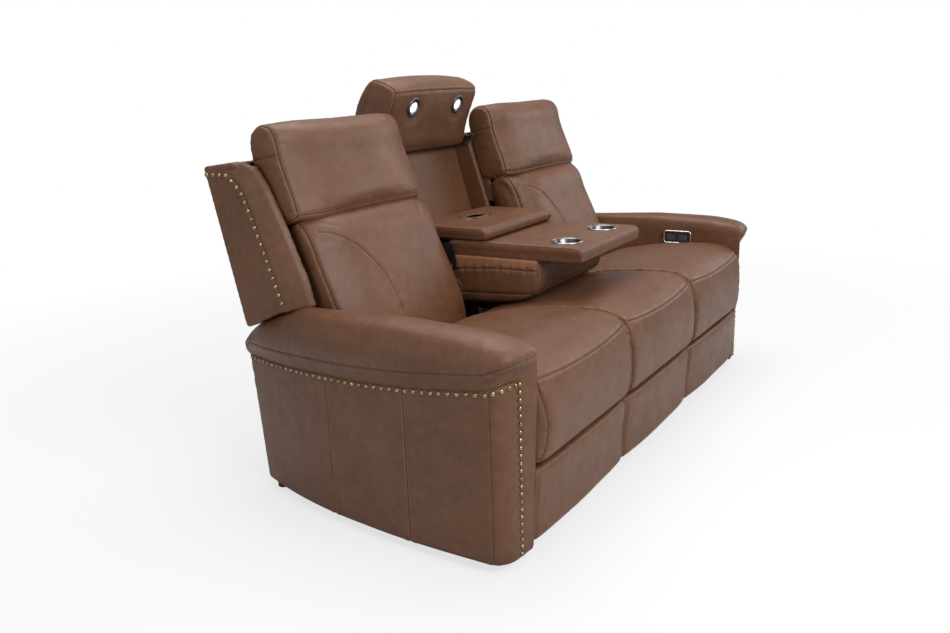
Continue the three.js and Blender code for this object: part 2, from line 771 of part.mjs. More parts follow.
function seatFrame(x0, x1, rear) {
  const ring = cut(block(x0, x1, seatFrameFront, rear, seatFrameBottom, seatFrameTop), [
    block(x0 + frameRail, x1 - frameRail, seatFrameFront + frameRail, seatFrameRear - frameRail,
      seatFrameBottom - cutOverrun, seatFrameTop + cutOverrun),
    block(x0 + frameRail, x1 - frameRail, seatFrameRear, rear + cutOverrun,
      seatFrameBottom - cutOverrun, seatFrameTop + cutOverrun)]);
  const springs = [];
  for (let i = 1; i <= springCount; i += 1) {
    const x = x0 + (i / (springCount + 1)) * (x1 - x0);
    springs.push(sinuousSpring(
      x, seatFrameFront + frameRail / 2, seatFrameRear - frameRail / 2, seatFrameTop - springWire / 2));
  }
  return join([ring, ...springs]);
}

const sideSeatInner = seatPitch / 2 + fitGap / 2;
addPair('seat_frame', seatFrame(sideSeatInner, innerHalf - fitGap, seatFrameRear), timber);
add('centre_seat_frame', seatFrame(-sideSeatInner + fitGap, sideSeatInner - fitGap, centreFrameRear), timber);

const seatFront = -499;
const seatRear = 66;
const seatLip = 258;
const seatHigh = 530;
const seatCrown = 8;
const centreSeatDrop = 6;
const seatEdge = 15;
const seatShares = [
  [1, 0.1], [0.13, 0], [0.05, 0], [0.019, 0.06], [0.004, 0.225], [0, 0.42], [0.007, 0.63], [0.027, 0.81],
  [0.087, 0.94], [0.196, 1], [0.432, 0.98], [0.646, 0.93], [0.883, 0.83], [1, 0.75]];

function seatCushion(x0, x1, high, crown) {
  const outline = placed(seatShares, seatFront, seatLip, seatRear - seatFront, high - seatLip);
  return cut(cushion(outline, x0, x1, seatEdge, crown, [0, 1]), [
    block(x0 - cutOverrun, x1 + cutOverrun, seatFrameFront - softGap, seatRear + cutOverrun,
      seatLip - cutOverrun, seatFrameTop + fitGap)]);
}

const switchClear = switchFace - panelProud - keyProud - 2 * softGap;
const sideSeatCushion = cut(seatCushion(seatPitch / 2 + softGap, innerHalf - softGap, seatHigh, seatCrown), [
  block(
    switchClear, innerHalf + cutOverrun,
    panelY - panelLength / 2 - softGap, panelY + panelLength / 2 + softGap,
    panelZ - panelHeight / 2 - softGap, panelZ + panelHeight / 2 + cutOverrun)]);
addPair('seat_cushion', sideSeatCushion, leather);
add('centre_seat_cushion', seatCushion(
  -seatPitch / 2 + softGap, seatPitch / 2 - softGap, seatHigh - centreSeatDrop, centreSeatDrop / 2), leather);

// Reclining backs: the cushion leans, and the steel frame and the shell behind it share its lean
const backAngle = 19.3;
const cushionFoot = [70, 406];
const backDepth = 149;
const backHeight = 486;
const backFrontReach = 14;
const backSideGap = 4;
const backTaper = 42;
const backInnerTaper = 14;
const backEdge = 16;
const backCrown = 38;
const backShares = [
  [0.4, 0], [0.31, 0.05], [0.2, 0.22], [0.22, 0.46], [0.28, 0.68], [0.32, 0.85], [0.42, 0.935], [0.6, 0.975],
  [0.9, 0.96], [1, 0.905], [1, 0.04], [0.9, 0]];

// A leaning cushion whose outer side draws in towards its back by the taper
function backCushion(x0, x1, taperLow, taperHigh) {
  const local = placed(backShares, -backFrontReach, 0, backDepth, backHeight);
  const flat = cushion(local, x0, x1, backEdge, backCrown, [-1, 0]);
  const p = flat.attributes.position;
  for (let i = 0; i < p.count; i += 1) {
    const deep = Math.max(0, p.getY(i) / backDepth);
    const across = (p.getX(i) - x0) / (x1 - x0);
    p.setX(i, p.getX(i) + deep * (taperLow * (1 - across) - taperHigh * across));
  }
  return leaned(flat, cushionFoot, backAngle);
}

const backInner = seatPitch / 2 + backSideGap;
const backOuter = innerHalf - backSideGap;
addPair('back_cushion', backCushion(backInner, backOuter, backInnerTaper, backTaper), leather);

// The rear plane that all three back shells share
const shellRearFoot = [399, 300];
const shellRearHead = [565, 987];
const shellWall = 12;
const shellSlope = (shellRearHead[0] - shellRearFoot[0]) / (shellRearHead[1] - shellRearFoot[1]);
const shellRearY = (z) => shellRearFoot[0] + (z - shellRearFoot[1]) * shellSlope;

// The steel back frame: uprights behind the cushion, pivot plates below, headrest arms above
const uprightRoom = 17;
const uprightOuter = plateInner - uprightRoom;
const uprightWidth = 30;
const frameFront = backDepth - backFrontReach + fitGap;
const frameDepth = 26;
const frameTop = 440;
const frameBottom = -84;
const crossShares = [0.02, 0.5, 0.95];
const backPlateInner = plateInner - linkGap - linkThickness;
const headPivot = [286, 880];
const headArmX = 120;
const headArmWidth = 6;
const headArmHalf = 13;
const headArmRise = 65;
const headPin = 5;
const backFrame = (() => {
  const at = (back, up) => leaning([[back, up]], ...cushionFoot, backAngle)[0];
  const box = (back0, back1, up0, up1) => [
    at(back0, up0), at(back1, up0), at(back1, up1), at(back0, up1)];
  const rear = frameFront + frameDepth;
  const uprights = bothSides(
    (x0, x1) => sidePrism(box(frameFront, rear, frameBottom, frameTop), x0, x1),
    uprightOuter - uprightWidth, uprightWidth);
  const rails = crossShares.map((share) => {
    const up = share * frameTop;
    return sidePrism(
      box(frameFront, rear, up - frameDepth / 2, up + frameDepth / 2),
      seatCentre - uprightOuter + uprightWidth / 2, seatCentre + uprightOuter - uprightWidth / 2);
  });
  const spacers = crossShares.slice(1).flatMap((share) => {
    const [y, z] = at(rear - linkThickness, share * frameTop);
    const half = frameDepth / 2;
    return bothSides((x0, x1) => sidePrism([
      [y, z - half], [shellRearY(z - half) - shellWall - fitGap, z - half],
      [shellRearY(z + half) - shellWall - fitGap, z + half], [y, z + half]], x0, x1),
    uprightOuter - 3 * uprightWidth, uprightWidth - 2 * linkThickness);
  });
  const foot = sidePrism(
    box(frameFront, rear, frameBottom, frameBottom + frameDepth),
    seatCentre - backPlateInner - linkThickness, seatCentre + backPlateInner + linkThickness);
  const plates = bothSides((x0, x1) => join([
    linkBar(backPivot, at(frameFront + frameDepth / 2, frameBottom + frameDepth / 2), x0, x1),
    linkBar(backPivot, at(frameFront + frameDepth / 2, frameBottom + 3 * frameDepth), x0, x1)]),
  backPlateInner, linkThickness);
  const pins = bothSides(
    (x0, x1) => crossRod(x0, x1, ...backPivot, liftTube, pivotSides),
    backPlateInner - linkGap, linkThickness + 2 * linkGap + plateThickness);
  const arms = bothSides((x0, x1) => join([
    sidePrism(box(frameFront, rear, crossShares[2] * frameTop, frameTop + uprightWidth), x0, x1),
    cut(sidePrism([
      at(frameFront, frameTop + frameDepth / 2), at(rear, frameTop + frameDepth / 2),
      at(rear, frameTop + headArmRise),
      [headPivot[0] + headArmHalf, headPivot[1] + headArmHalf / 2],
      [headPivot[0], headPivot[1] + headArmHalf], [headPivot[0] - headArmHalf, headPivot[1]],
      [headPivot[0] - headArmHalf / 2, headPivot[1] - headArmHalf + linkGap],
      [headPivot[0] + 2 * headArmHalf, headPivot[1] - headArmHalf],
      at(frameFront, frameTop + headArmRise - linkHalfWidth / 2)], x0, x1), [hole(headPivot, headPin)])]),
  headArmX, headArmWidth);
  return join([...uprights, ...rails, ...spacers, foot, ...plates, ...pins, ...arms]);
})();
addPair('back_frame', backFrame, blackSteel);

// The upholstered shell behind: rear panel, inner wall, top and the wing beside the cushion
const shellPanelStep = 16;
const shellLowHalf = rearPanelHalf - shellPanelStep;
const shellShoulder = 560;
const wallLow = [315, 746];
const wallHigh = [421, 1018];
const shellTopRear = [569, 1004];
const shellTopThickness = 14;
const shellLidSetback = 24;
const wingInner = innerHalf + backSideGap;
const wingThickness = 43;
const wingOuter = wingInner + wingThickness;
const wingPadDrop = 25;
const wingFoot = [214, padCrest - wingPadDrop];
const wingTop = 1005;
const wingDepth = 226;
const wingHeight = wingTop - wingFoot[1];
const wingInnerShares = [[0, 0.039], [0.084, 0.191], [0.345, 0.536], [0.597, 0.84], [0.796, 1]];
const wingOuterShares = [[0.372, 0], [0.487, 0.178], [0.717, 0.552], [0.889, 0.802], [1, 0.884]];
const wingInnerFront = placed(wingInnerShares, ...wingFoot, wingDepth, wingHeight);
const wingOuterFront = placed(wingOuterShares, ...wingFoot, wingDepth, wingHeight);
const wingMiddleDrop = 11;
const wingRearDrop = 65;
const wingLowMiddle = [330, wingFoot[1] - wingMiddleDrop];
const wingLowRear = [455, wingFoot[1] - wingRearDrop];
const wingInnerHead = [450, 1012];
const wingOuterHead = [470, 986];
const wingBulge = 9;
const backShell = (() => {
  const inner = seatPitch / 2 + softGap;
  const strip = (z0, z1) => [
    [shellRearY(z0) - shellWall, z0], [shellRearY(z0), z0], [shellRearY(z1), z1],
    [shellRearY(z1) - shellWall, z1]];
  const top = shellRearHead[1];
  const panel = join([
    sidePrism(strip(shellRearFoot[1], top), inner, shellLowHalf),
    sidePrism(strip(shellShoulder, top), inner, wingOuter)]);
  const wall = sidePrism([
    wallLow, [shellRearY(wallLow[1]) - shellWall / 2, wallLow[1]],
    [shellTopRear[0] - shellWall / 2, shellTopRear[1]], wallHigh], inner, inner + shellWall);
  const lid = sidePrism([
    [wallHigh[0] + shellLidSetback, wallHigh[1]], shellTopRear, [shellRearHead[0], top - linkGap],
    [wallHigh[0] + shellLidSetback, wallHigh[1] - shellTopThickness]], inner, wingOuter);
  const ring = (x, front, head, lift) => [
    ...front.map(([y, z]) => [x, y - lift, z]), [x, head[0], head[1] + lift],
    [x, ...shellTopRear], [x, shellRearY(wingLowRear[1] + shellWall), wingLowRear[1] + shellWall],
    [x, ...wingLowRear], [x, ...wingLowMiddle]];
  const between = (share) => wingInnerFront.map(([y, z], i) => [
    y + share * (wingOuterFront[i][0] - y), z + share * (wingOuterFront[i][1] - z)]);
  const bandMid = (wingInner + wingOuter) / 2;
  const wing = loft([
    ring(wingInner, wingInnerFront, wingInnerHead, 0),
    ring(bandMid, between(1 / 4), wingInnerHead, wingBulge),
    ring((bandMid + 2 * wingOuter) / 3, between(2 / 3), wingOuterHead, wingBulge),
    ring(wingOuter, wingOuterFront, wingOuterHead, 0)]);
  return join([panel, wall, lid, wing]);
})();
addPair('back_shell', backShell, leather);

const wingNailCount = 20;
const wingNailInset = 8;
const wingNails = (() => {
  const path = [...wingOuterFront, wingOuterHead, [shellTopRear[0] - wingNailInset, wingOuterHead[1]]]
    .map(([y, z]) => new THREE.Vector3(wingOuter, y + wingNailInset, z - wingNailInset / 2));
  const lengths = path.slice(1).map((p, i) => p.distanceTo(path[i]));
  const total = lengths.reduce((sum, length) => sum + length, 0);
  const centres = [];
  for (let i = 0; i < wingNailCount; i += 1) {
    let left = ((i + 1 / 2) / wingNailCount) * total;
    let part = 0;
    while (left > lengths[part]) {
      left -= lengths[part];
      part += 1;
    }
    centres.push(path[part].clone().lerp(path[part + 1], left / lengths[part]).toArray());
  }
  return nailStrip(centres, centres.map(() => [1, 0, 0]), 0);
})();
addPair('wing_nails', wingNails, agedBrass);

// Side headrests, each slotted over the arms of its back frame
const headFoot = [268, 861];
const headAngle = 11.5;
const headDepth = 130;
const headHeight = 280;
const headInnerGap = 14;
const headOuterGap = 8;
const headTopInset = 20;
const headEdge = 16;
const headCrown = 32;
const headShares = [
  [0.26, 0], [0.08, 0.03], [0.06, 0.12], [0.14, 0.36], [0.23, 0.62], [0.26, 0.86], [0.38, 0.96], [0.6, 1],
  [0.84, 0.965], [0.98, 0.86], [1, 0.6], [0.96, 0.22], [0.88, 0.04], [0.73, 0]];
const slotGap = 2;
const headrest = (() => {
  const [x0, x1] = [seatPitch / 2 + headInnerGap, innerHalf - headOuterGap];
  const local = placed(headShares, 0, 0, headDepth, headHeight);
  const body = cushion(local, x0, x1, headEdge, headCrown, [-1, 0]);
  const p = body.attributes.position;
  for (let i = 0; i < p.count; i += 1) {
    const drawn = headTopInset * p.getZ(i) / headHeight / 2;
    const side = 2 * (p.getX(i) - x0) / (x1 - x0) - 1;
    p.setX(i, p.getX(i) - side * drawn);
  }
  const slots = bothSides((a, b) => block(
    a - slotGap, b + slotGap, headPivot[0] - headArmHalf - slotGap, headPivot[0] + headDepth + cutOverrun,
    headFoot[1] - cutOverrun, headPivot[1] + headArmHalf + slotGap), headArmX, headArmWidth);
  const pin = bothSides(
    (a, b) => crossRod(a, b, ...headPivot, headPin, pivotSides), headArmX - headArmWidth, 3 * headArmWidth);
  return join([cut(leaned(body, headFoot, headAngle), slots), ...pin]);
})();
addPair('headrest', headrest, leather);

// Fixed centre back: rear panel, side strips, lid and the recess panel between them
const stripWidth = 24;
const stripLow = [213, seatFrameTop + fitGap];
const stripHigh = [435, 1018];
const centreTop = 989;
const centreHalf = seatPitch / 2 - softGap;
const recessAngle = 16;
const recessFoot = [424, 746];
const recessThickness = 14;
const recessHalf = centreHalf - stripWidth - softGap;
const recessBottom = 420;
const recessTop = centreTop;
const recessY = (z) => recessFoot[0] + (z - recessFoot[1]) * Math.tan(radians(recessAngle));
const centreBack = (() => {
  const low = stripLow[1];
  const panel = sidePrism([
    [shellRearY(low) - shellWall, low], [shellRearY(low), low],
    [shellRearY(centreTop), centreTop], [shellRearY(centreTop) - shellWall, centreTop]],
  -centreHalf, centreHalf);
  const side = [
    stripLow, [shellRearY(low) - shellWall / 2, low], [shellTopRear[0] - shellWall / 2, centreTop],
    [recessY(recessTop), centreTop], stripHigh];
  const lidFront = recessY(recessTop) + recessThickness + softGap;
  const lid = block(
    -centreHalf, centreHalf, lidFront + recessThickness, shellRearY(centreTop) - shellWall / 2,
    centreTop - shellTopThickness, centreTop);
  return join([
    panel, sidePrism(side, centreHalf - stripWidth, centreHalf),
    sidePrism(side, -centreHalf, stripWidth - centreHalf), lid]);
})();
add('centre_back_shell', centreBack, darkLeather);

// The flap's fixed leaf is part of the recess panel
const flapPivot = [352, 692];
const leafThickness = 8;
const leafDrop = 8;
const leafInset = 100.8;
const leafHalf = centreHalf - leafInset;
const flapPin = 3;
const knuckleX = 80;
const knuckleHalf = 20;
const knuckleReach = 15;
const recessPanel = (() => {
  const outline = [
    [recessY(recessBottom), recessBottom], [recessY(recessBottom) + recessThickness, recessBottom],
    [recessY(recessTop) + recessThickness, recessTop], [recessY(recessTop), recessTop]];
  const leafTop = flapPivot[1] - leafDrop;
  const leaf = block(
    -leafHalf, leafHalf, flapPivot[0] - 3 * flapPin / 2, recessY(leafTop) + recessThickness / 2,
    leafTop - leafThickness, leafTop);
  const lugs = [-knuckleX, knuckleX].flatMap((x) => [-1, 1].map((side) => {
    const middle = x + side * (knuckleHalf + leafThickness);
    return block(
      middle - leafThickness / 2, middle + leafThickness / 2, flapPivot[0] - 3 * flapPin / 2,
      flapPivot[0] + 2 * flapPin, leafTop - leafThickness / 2, flapPivot[1] + flapPin);
  }));
  const rods = [-knuckleX, knuckleX].map((x) => crossRod(
    x - knuckleHalf - leafThickness, x + knuckleHalf + leafThickness, ...flapPivot, flapPin, pivotSides));
  return join([sidePrism(outline, -recessHalf, recessHalf), leaf, ...lugs, ...rods]);
})();
add('recess_panel', recessPanel, darkLeather);

// Centre headrest: a pillow that flips over forward on a hinge, with two reading lights
const pillowFoot = [441, 996];
const pillowAngle = -22.2;
const pillowSideGap = 28.8;
const pillowHalf = centreHalf - pillowSideGap;
const pillowDepth = 140;
const pillowHeight = 234;
const pillowDrop = 18;
const pillowEdge = 18;
const pillowCrown = 16;
const pillowShares = [
  [0, 0.077], [0, 0.5], [0.0, 0.9], [0.06, 0.97], [0.43, 1], [0.8, 0.953], [0.943, 0.761], [1, 0.436],
  [0.914, 0.162], [0.714, 0.017], [0.286, 0]];
const lightInset = 130;
const lightX = pillowHalf - lightInset;
const lightUp = 148;
const lightRadius = 32;
const lightDepth = 14;
const lightProud = 4;
const lensRadius = 21;
const lensSink = 2;
const lightSides = 24;
const hingePivot = [410, 1010];

// Stands a turned profile on the light face, facing out of it
function onLightFace(profile, x) {
  const turned = new THREE.LatheGeometry(profile.map(([r, t]) => new THREE.Vector2(r, t)), lightSides);
  return leaned(turned.translate(x, 0, lightUp), pillowFoot, pillowAngle);
}

const pillowBody = leaned(cushion(
  placed(pillowShares, 0, -pillowDrop, pillowDepth, pillowHeight), -pillowHalf, pillowHalf, pillowEdge,
  pillowCrown, [pillowDepth, pillowHeight]), pillowFoot, pillowAngle);
const pillow = (() => {
  const pocket = [[0, -cutOverrun], [lightRadius + fitGap, -cutOverrun],
    [lightRadius + fitGap, lightDepth + fitGap], [0, lightDepth + fitGap]];
  return cut(pillowBody, [onLightFace(pocket, -lightX), onLightFace(pocket, lightX)]);
})();
add('centre_headrest', pillow, leather);
const lightProfile = [
  [0, lensSink], [lensRadius, lensSink], [lensRadius, -lightProud], [lightRadius - lightProud / 2, -lightProud],
  [lightRadius, -lightProud / 2], [lightRadius, lightDepth], [0, lightDepth]];
add('right_reading_light', onLightFace(lightProfile, lightX), blackSteel);
add('left_reading_light', onLightFace(lightProfile, -lightX), blackSteel);

const lugInset = 6;
const lugOuter = pillowHalf - lugInset;
const lugThickness = 6;
const eyeRadius = 10;
const armInnerX = lugOuter + linkGap;
const armOuterX = centreHalf - stripWidth - 2 * linkGap;
const eyeArc = (centre, radius) => [180, 135, 90, 45, 0].map((angle) => [
  centre[0] + radius * Math.cos(radians(angle)), centre[1] + radius * Math.sin(radians(angle))]);
const hingePin = 4;
const headrestLugs = (() => {
  const under = pillowFoot[1] + lugThickness / 3;
  const rear = pillowFoot[0] + pillowDepth / 3;
  const outline = [
    ...eyeArc(hingePivot, eyeRadius), [pillowFoot[0] - eyeRadius / 2, under], [rear, under],
    [rear, under - 2 * lugThickness], [pillowFoot[0] - eyeRadius, under - 5 * lugThickness / 2],
    [hingePivot[0] - eyeRadius / 2, hingePivot[1] - eyeRadius]];
  const plate = (x0, x1) => cut(sidePrism(outline, x0, x1), [crossRod(
    -centreHalf, centreHalf, ...hingePivot, hingePin + holeGap, pivotSides)]);
  const lugs = join([
    plate(lugOuter - lugThickness, lugOuter), plate(-lugOuter, lugThickness - lugOuter),
    block(-lugOuter, lugOuter, pillowFoot[0] + eyeRadius, rear, under - 2 * lugThickness, under)]);
  return cut(lugs, [moved(pillowBody, 0, 0, -fitGap)]);
})();
add('headrest_lugs', headrestLugs, blackSteel);
const headrestHinge = (() => {
  const top = centreTop + fitGap;
  const front = recessY(recessTop) - softGap;
  const rear = recessY(recessTop) + recessThickness + eyeRadius;
  const outline = [
    ...eyeArc(hingePivot, eyeRadius), [hingePivot[0] + eyeRadius * 2, top - lugThickness / 2],
    [front - eyeRadius, top - lugThickness / 2], [front, top + lugThickness / 2],
    [rear, top + lugThickness / 2],
    [rear, top], [front, top], [front - lugThickness, top - 2 * lugThickness],
    [hingePivot[0] + eyeRadius, top - 2 * lugThickness],
    [hingePivot[0] - eyeRadius / 2, hingePivot[1] - eyeRadius]];
  const pin = (side) => crossRod(
    Math.min(side * (lugOuter - 2 * lugThickness), side * armOuterX),
    Math.max(side * (lugOuter - 2 * lugThickness), side * armOuterX), ...hingePivot, hingePin, pivotSides);
  return join([
    sidePrism(outline, armInnerX, armOuterX), sidePrism(outline, -armOuterX, -armInnerX), pin(1), pin(-1),
    block(-armOuterX, armOuterX, front + lugThickness, rear, top, top + lugThickness / 2)]);
})();
add('headrest_hinge', headrestHinge, zincSteel);

// Console: the centre back dropped forward, with its cushion, table and cup holders
const consolePivot = [158, 549];
const consoleSideRoom = 44.8;
const consoleHalf = centreHalf - consoleSideRoom;
const consoleFront = -150;
const consoleRear = 216;
const consoleLow = 492;
const consoleTop = 649.7;
const consoleEdge = 14;
const consoleShares = [
  [0.01, 1], [0, 0.68], [0.011, 0.34], [0.06, 0.24], [0.15, 0.127], [0.33, 0.05], [0.63, 0], [0.9, 0.025],
  [0.993, 0.24], [1, 0.68], [0.984, 1]];
const consoleCushion = cushion(
  placed(consoleShares, consoleFront, consoleLow, consoleRear - consoleFront, consoleTop - consoleLow),
  -consoleHalf, consoleHalf, consoleEdge, 0, [0, 1]);
add('console_cushion', consoleCushion, leather);

const tableInset = 11;
const tableHalf = consoleHalf - tableInset;
const tableFront = -299;
const tableRear = 200;
const tableTop = 697;
const tableBottom = consoleTop + fitGap;
const tableEdge = 7;
const cupInset = 103.5;
const cupX = tableHalf - cupInset;
const cupY = -198;
const cupRadius = 43.5;
const cupRim = 53;
const cupWall = 2;
const cupSides = 20;
const cupRimHeight = 2.5;
const slabShares = [[0.4, 0], [0.06, 0.16], [0, 0.5], [0.06, 0.84], [0.4, 1]];

// A flat upholstered slab with rounded front and rear edges
function slab(y0, y1, z0, z1, half, edge) {
  const height = z1 - z0;
  const front = slabShares.map(([u, v]) => [y0 + u * height, z0 + v * height]);
  const rear = slabShares.slice().reverse().map(([u, v]) => [y1 - u * height / 2, z0 + v * height]);
  return cushion([...front, ...rear], -half, half, edge, 0, [0, 1]);
}

const consoleTable = cut(slab(tableFront, tableRear, tableBottom, tableTop, tableHalf, tableEdge), [
  post(cupX, cupY, tableBottom - cutOverrun, tableTop + cutOverrun, cupRadius + fitGap * 2, cupSides),
  post(-cupX, cupY, tableBottom - cutOverrun, tableTop + cutOverrun, cupRadius + fitGap * 2, cupSides)]);
add('console_table', consoleTable, leather);
const cupHolder = (x) => {
  const seat = tableTop + fitGap;
  const floor = tableBottom + fitGap;
  const profile = [
    [0, floor], [cupRadius - cupWall, floor], [cupRadius, floor + cupWall], [cupRadius, seat], [cupRim, seat],
    [cupRim - cupWall / 2, seat + cupRimHeight], [cupRadius - cupWall, seat + cupRimHeight / 2],
    [cupRadius - cupWall, floor + 2 * cupWall], [0, floor + 2 * cupWall]];
  const cup = new THREE.LatheGeometry(profile.map(([r, z]) => new THREE.Vector2(r, z)), cupSides);
  return moved(cup.rotateX(Math.PI / 2), x, cupY, 0);
};
add('right_cup_holder', cupHolder(cupX), brushedSteel);
add('left_cup_holder', cupHolder(-cupX), brushedSteel);

// The flap between the table and the recess, with the switch cup in it
const flapFront = 48;
const flapRear = 345;
const flapBottom = tableTop + fitGap * 2;
const flapTop = 740;
const flapEdge = 7;
const trayY = 237;
const trayLength = 150;
const trayWidth = 72;
const trayWall = 2;
const trayFloor = 714;
const trayRim = 4;
const switchX = 34;
const switchRadius = 8;
const stemRadius = 3;
const switchTravel = 2;
const stemRoom = 8;

// An oval lying along x about the tray's place, carried from z0 up to z1
function ovalPost(length, width, z0, z1) {
  const points = [];
  const steps = 6;
  for (const side of [1, -1]) {
    for (let i = 0; i <= steps; i += 1) {
      const angle = (i / steps - 1 / 2) * Math.PI;
      points.push([
        side * ((length - width) / 2 + (width / 2) * Math.cos(angle)),
        trayY + side * (width / 2) * Math.sin(angle)]);
    }
  }
  return planPrism(points, z0, z1);
}

const consoleFlap = (() => {
  const body = slab(flapFront, flapRear, flapBottom, flapTop, tableHalf, flapEdge);
  const pocket = ovalPost(
    trayLength + 2 * fitGap, trayWidth + 2 * fitGap, trayFloor - trayWall - fitGap, flapTop + cutOverrun);
  const rooms = [-switchX, switchX].map((x) => post(
    x, trayY, trayFloor - stemRoom, trayFloor, switchRadius - stemRadius));
  const knuckles = [-knuckleX, knuckleX].map((x) => cut(
    block(x - knuckleHalf, x + knuckleHalf, flapPivot[0] - knuckleReach, flapPivot[0] + 3 * flapPin / 2,
      flapPivot[1] - 3 * flapPin / 2, flapBottom + 2 * flapPin), [
      crossRod(x - 2 * knuckleHalf, x + 2 * knuckleHalf, ...flapPivot, flapPin + holeGap, pivotSides)]));
  return join([cut(body, [pocket, ...rooms]), ...knuckles]);
})();
add('console_flap', consoleFlap, leather);
const switchTray = (() => {
  const floor = trayFloor - trayWall;
  const cup = cut(ovalPost(trayLength, trayWidth, floor, flapTop), [
    ovalPost(trayLength - 2 * trayWall, trayWidth - 2 * trayWall, trayFloor, flapTop + cutOverrun)]);
  const rim = cut(ovalPost(
    trayLength + trayRim, trayWidth + trayRim, flapTop + fitGap, flapTop + trayWall), [
    ovalPost(trayLength - 2 * trayWall, trayWidth - 2 * trayWall, flapTop - cutOverrun, flapTop + cutOverrun)]);
  const neck = cut(ovalPost(trayLength, trayWidth, flapTop - trayWall, flapTop + trayWall), [
    ovalPost(trayLength - 2 * trayWall, trayWidth - 2 * trayWall, flapTop - cutOverrun, flapTop + cutOverrun)]);
  const holes = [-switchX, switchX].map((x) => post(
    x, trayY, floor - cutOverrun, trayFloor + linkGap, stemRadius + holeGap));
  return cut(join([cup, rim, neck]), holes);
})();
add('switch_tray', switchTray, blackPlastic);
const lightSwitch = (x) => {
  const rest = trayFloor + switchTravel + fitGap;
  return join([
    post(x, trayY, rest, rest + switchRadius, switchRadius, 14),
    post(x, trayY, trayFloor - trayWall - switchTravel, rest + linkGap, stemRadius)]);
};
add('right_light_switch', lightSwitch(switchX), brushedSteel);
add('left_light_switch', lightSwitch(-switchX), brushedSteel);

// Console brackets turn with the console on the pins of the fixed hinge
const consoleArmGap = 6;
const consoleArmInner = consoleHalf + consoleArmGap;
const consoleArmThickness = 6;
const bracketThickness = 2.5;
const bracketRodY = tableRear + pinRadius + fitGap;
const bracketRodZ = 669;
const bracketHalf = 17;
const bracketGap = 3;
const consoleBracket = (() => {
  const inner = consoleHalf + bracketGap;
  const outline = [
    [consolePivot[0] - bracketHalf, consolePivot[1]], [consolePivot[0], consolePivot[1] - bracketHalf],
    [consolePivot[0] + bracketHalf, consolePivot[1]],
    [bracketRodY + bracketHalf / 2, bracketRodZ - bracketHalf],
    [bracketRodY + bracketHalf / 2, bracketRodZ + bracketHalf],
    [bracketRodY - 2 * bracketHalf, bracketRodZ + bracketHalf]];
  const plate = (x0, x1) => cut(sidePrism(outline, x0, x1), [
    crossRod(-seatPitch, seatPitch, ...consolePivot, pinRadius + holeGap, pivotSides)]);
  return join([
    plate(inner, inner + bracketThickness), plate(-inner - bracketThickness, -inner),
    crossRod(-inner - bracketThickness, inner + bracketThickness, bracketRodY, bracketRodZ, pinRadius)]);
})();
add('console_bracket', consoleBracket, blackSteel);
const consoleHinge = (() => {
  const foot = seatFrameTop + fitGap;
  const outline = [
    [consolePivot[0] - 2 * bracketHalf, foot], [consolePivot[0] + 3 * bracketHalf, foot],
    [consolePivot[0] + bracketHalf, consolePivot[1]], [consolePivot[0], consolePivot[1] + bracketHalf],
    [consolePivot[0] - bracketHalf, consolePivot[1]]];
  const outer = consoleArmInner + consoleArmThickness;
  const stand = seatPitch / 2 - 2 * softGap;
  const pin = (side) => crossRod(
    Math.min(side * (consoleHalf + linkGap), side * outer),
    Math.max(side * (consoleHalf + linkGap), side * outer),
    ...consolePivot, pinRadius, pivotSides);
  return join([
    sidePrism(outline, consoleArmInner, outer), sidePrism(outline, -outer, -consoleArmInner), pin(1), pin(-1),
    block(-stand, stand, consolePivot[0] - 2 * bracketHalf, consolePivot[0] + 3 * bracketHalf,
      foot, foot + consoleArmThickness)]);
})();
add('console_hinge', consoleHinge, blackSteel);

export default scene;
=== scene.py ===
import math

import bmesh
import bpy
import numpy as np
from mathutils import Matrix, Vector
from mathutils.bvhtree import BVHTree
from mathutils.kdtree import KDTree


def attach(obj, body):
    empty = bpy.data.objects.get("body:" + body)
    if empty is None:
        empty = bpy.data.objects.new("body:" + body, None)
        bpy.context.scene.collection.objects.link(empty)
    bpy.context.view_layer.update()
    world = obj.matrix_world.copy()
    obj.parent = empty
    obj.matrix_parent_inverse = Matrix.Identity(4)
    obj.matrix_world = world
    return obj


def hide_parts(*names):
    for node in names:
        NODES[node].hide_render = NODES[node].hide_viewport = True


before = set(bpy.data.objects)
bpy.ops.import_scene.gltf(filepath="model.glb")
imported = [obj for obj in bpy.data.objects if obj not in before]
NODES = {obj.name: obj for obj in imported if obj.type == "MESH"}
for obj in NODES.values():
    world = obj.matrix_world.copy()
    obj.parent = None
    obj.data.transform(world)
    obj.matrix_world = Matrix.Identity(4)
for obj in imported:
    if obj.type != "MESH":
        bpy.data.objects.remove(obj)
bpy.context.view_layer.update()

# A three seat reclining sofa in leather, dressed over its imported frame. Lengths below are in millimetres
# until a mesh is made, as in the part's own source. Paired pieces are shaped for +X and mirrored for -X.
MM = 0.001
SIDES = (("right", 1), ("left", -1))
INNER_HALF, ARM_OUTER, SEAT_CENTRE = 906.0, 1031.0, 604.0


# Materials

def feed(tree, node, inputs):
    """Gives each input of a node its value, or links it to a socket."""
    for name, value in inputs.items():
        if isinstance(value, bpy.types.NodeSocket):
            tree.links.new(value, node.inputs[name])
        else:
            node.inputs[name].default_value = value


def add_node(tree, kind, inputs, out=0, **settings):
    """Adds a node and returns one of its outputs."""
    node = tree.nodes.new("ShaderNode" + kind)
    for name, value in settings.items():
        setattr(node, name, value)
    feed(tree, node, inputs)
    return node.outputs[out]


def new_material(name):
    mat = bpy.data.materials.new(name)
    mat.use_nodes = True
    tree = mat.node_tree
    return mat, tree, tree.nodes["Principled BSDF"], add_node(tree, "TexCoord", {}, "Object")


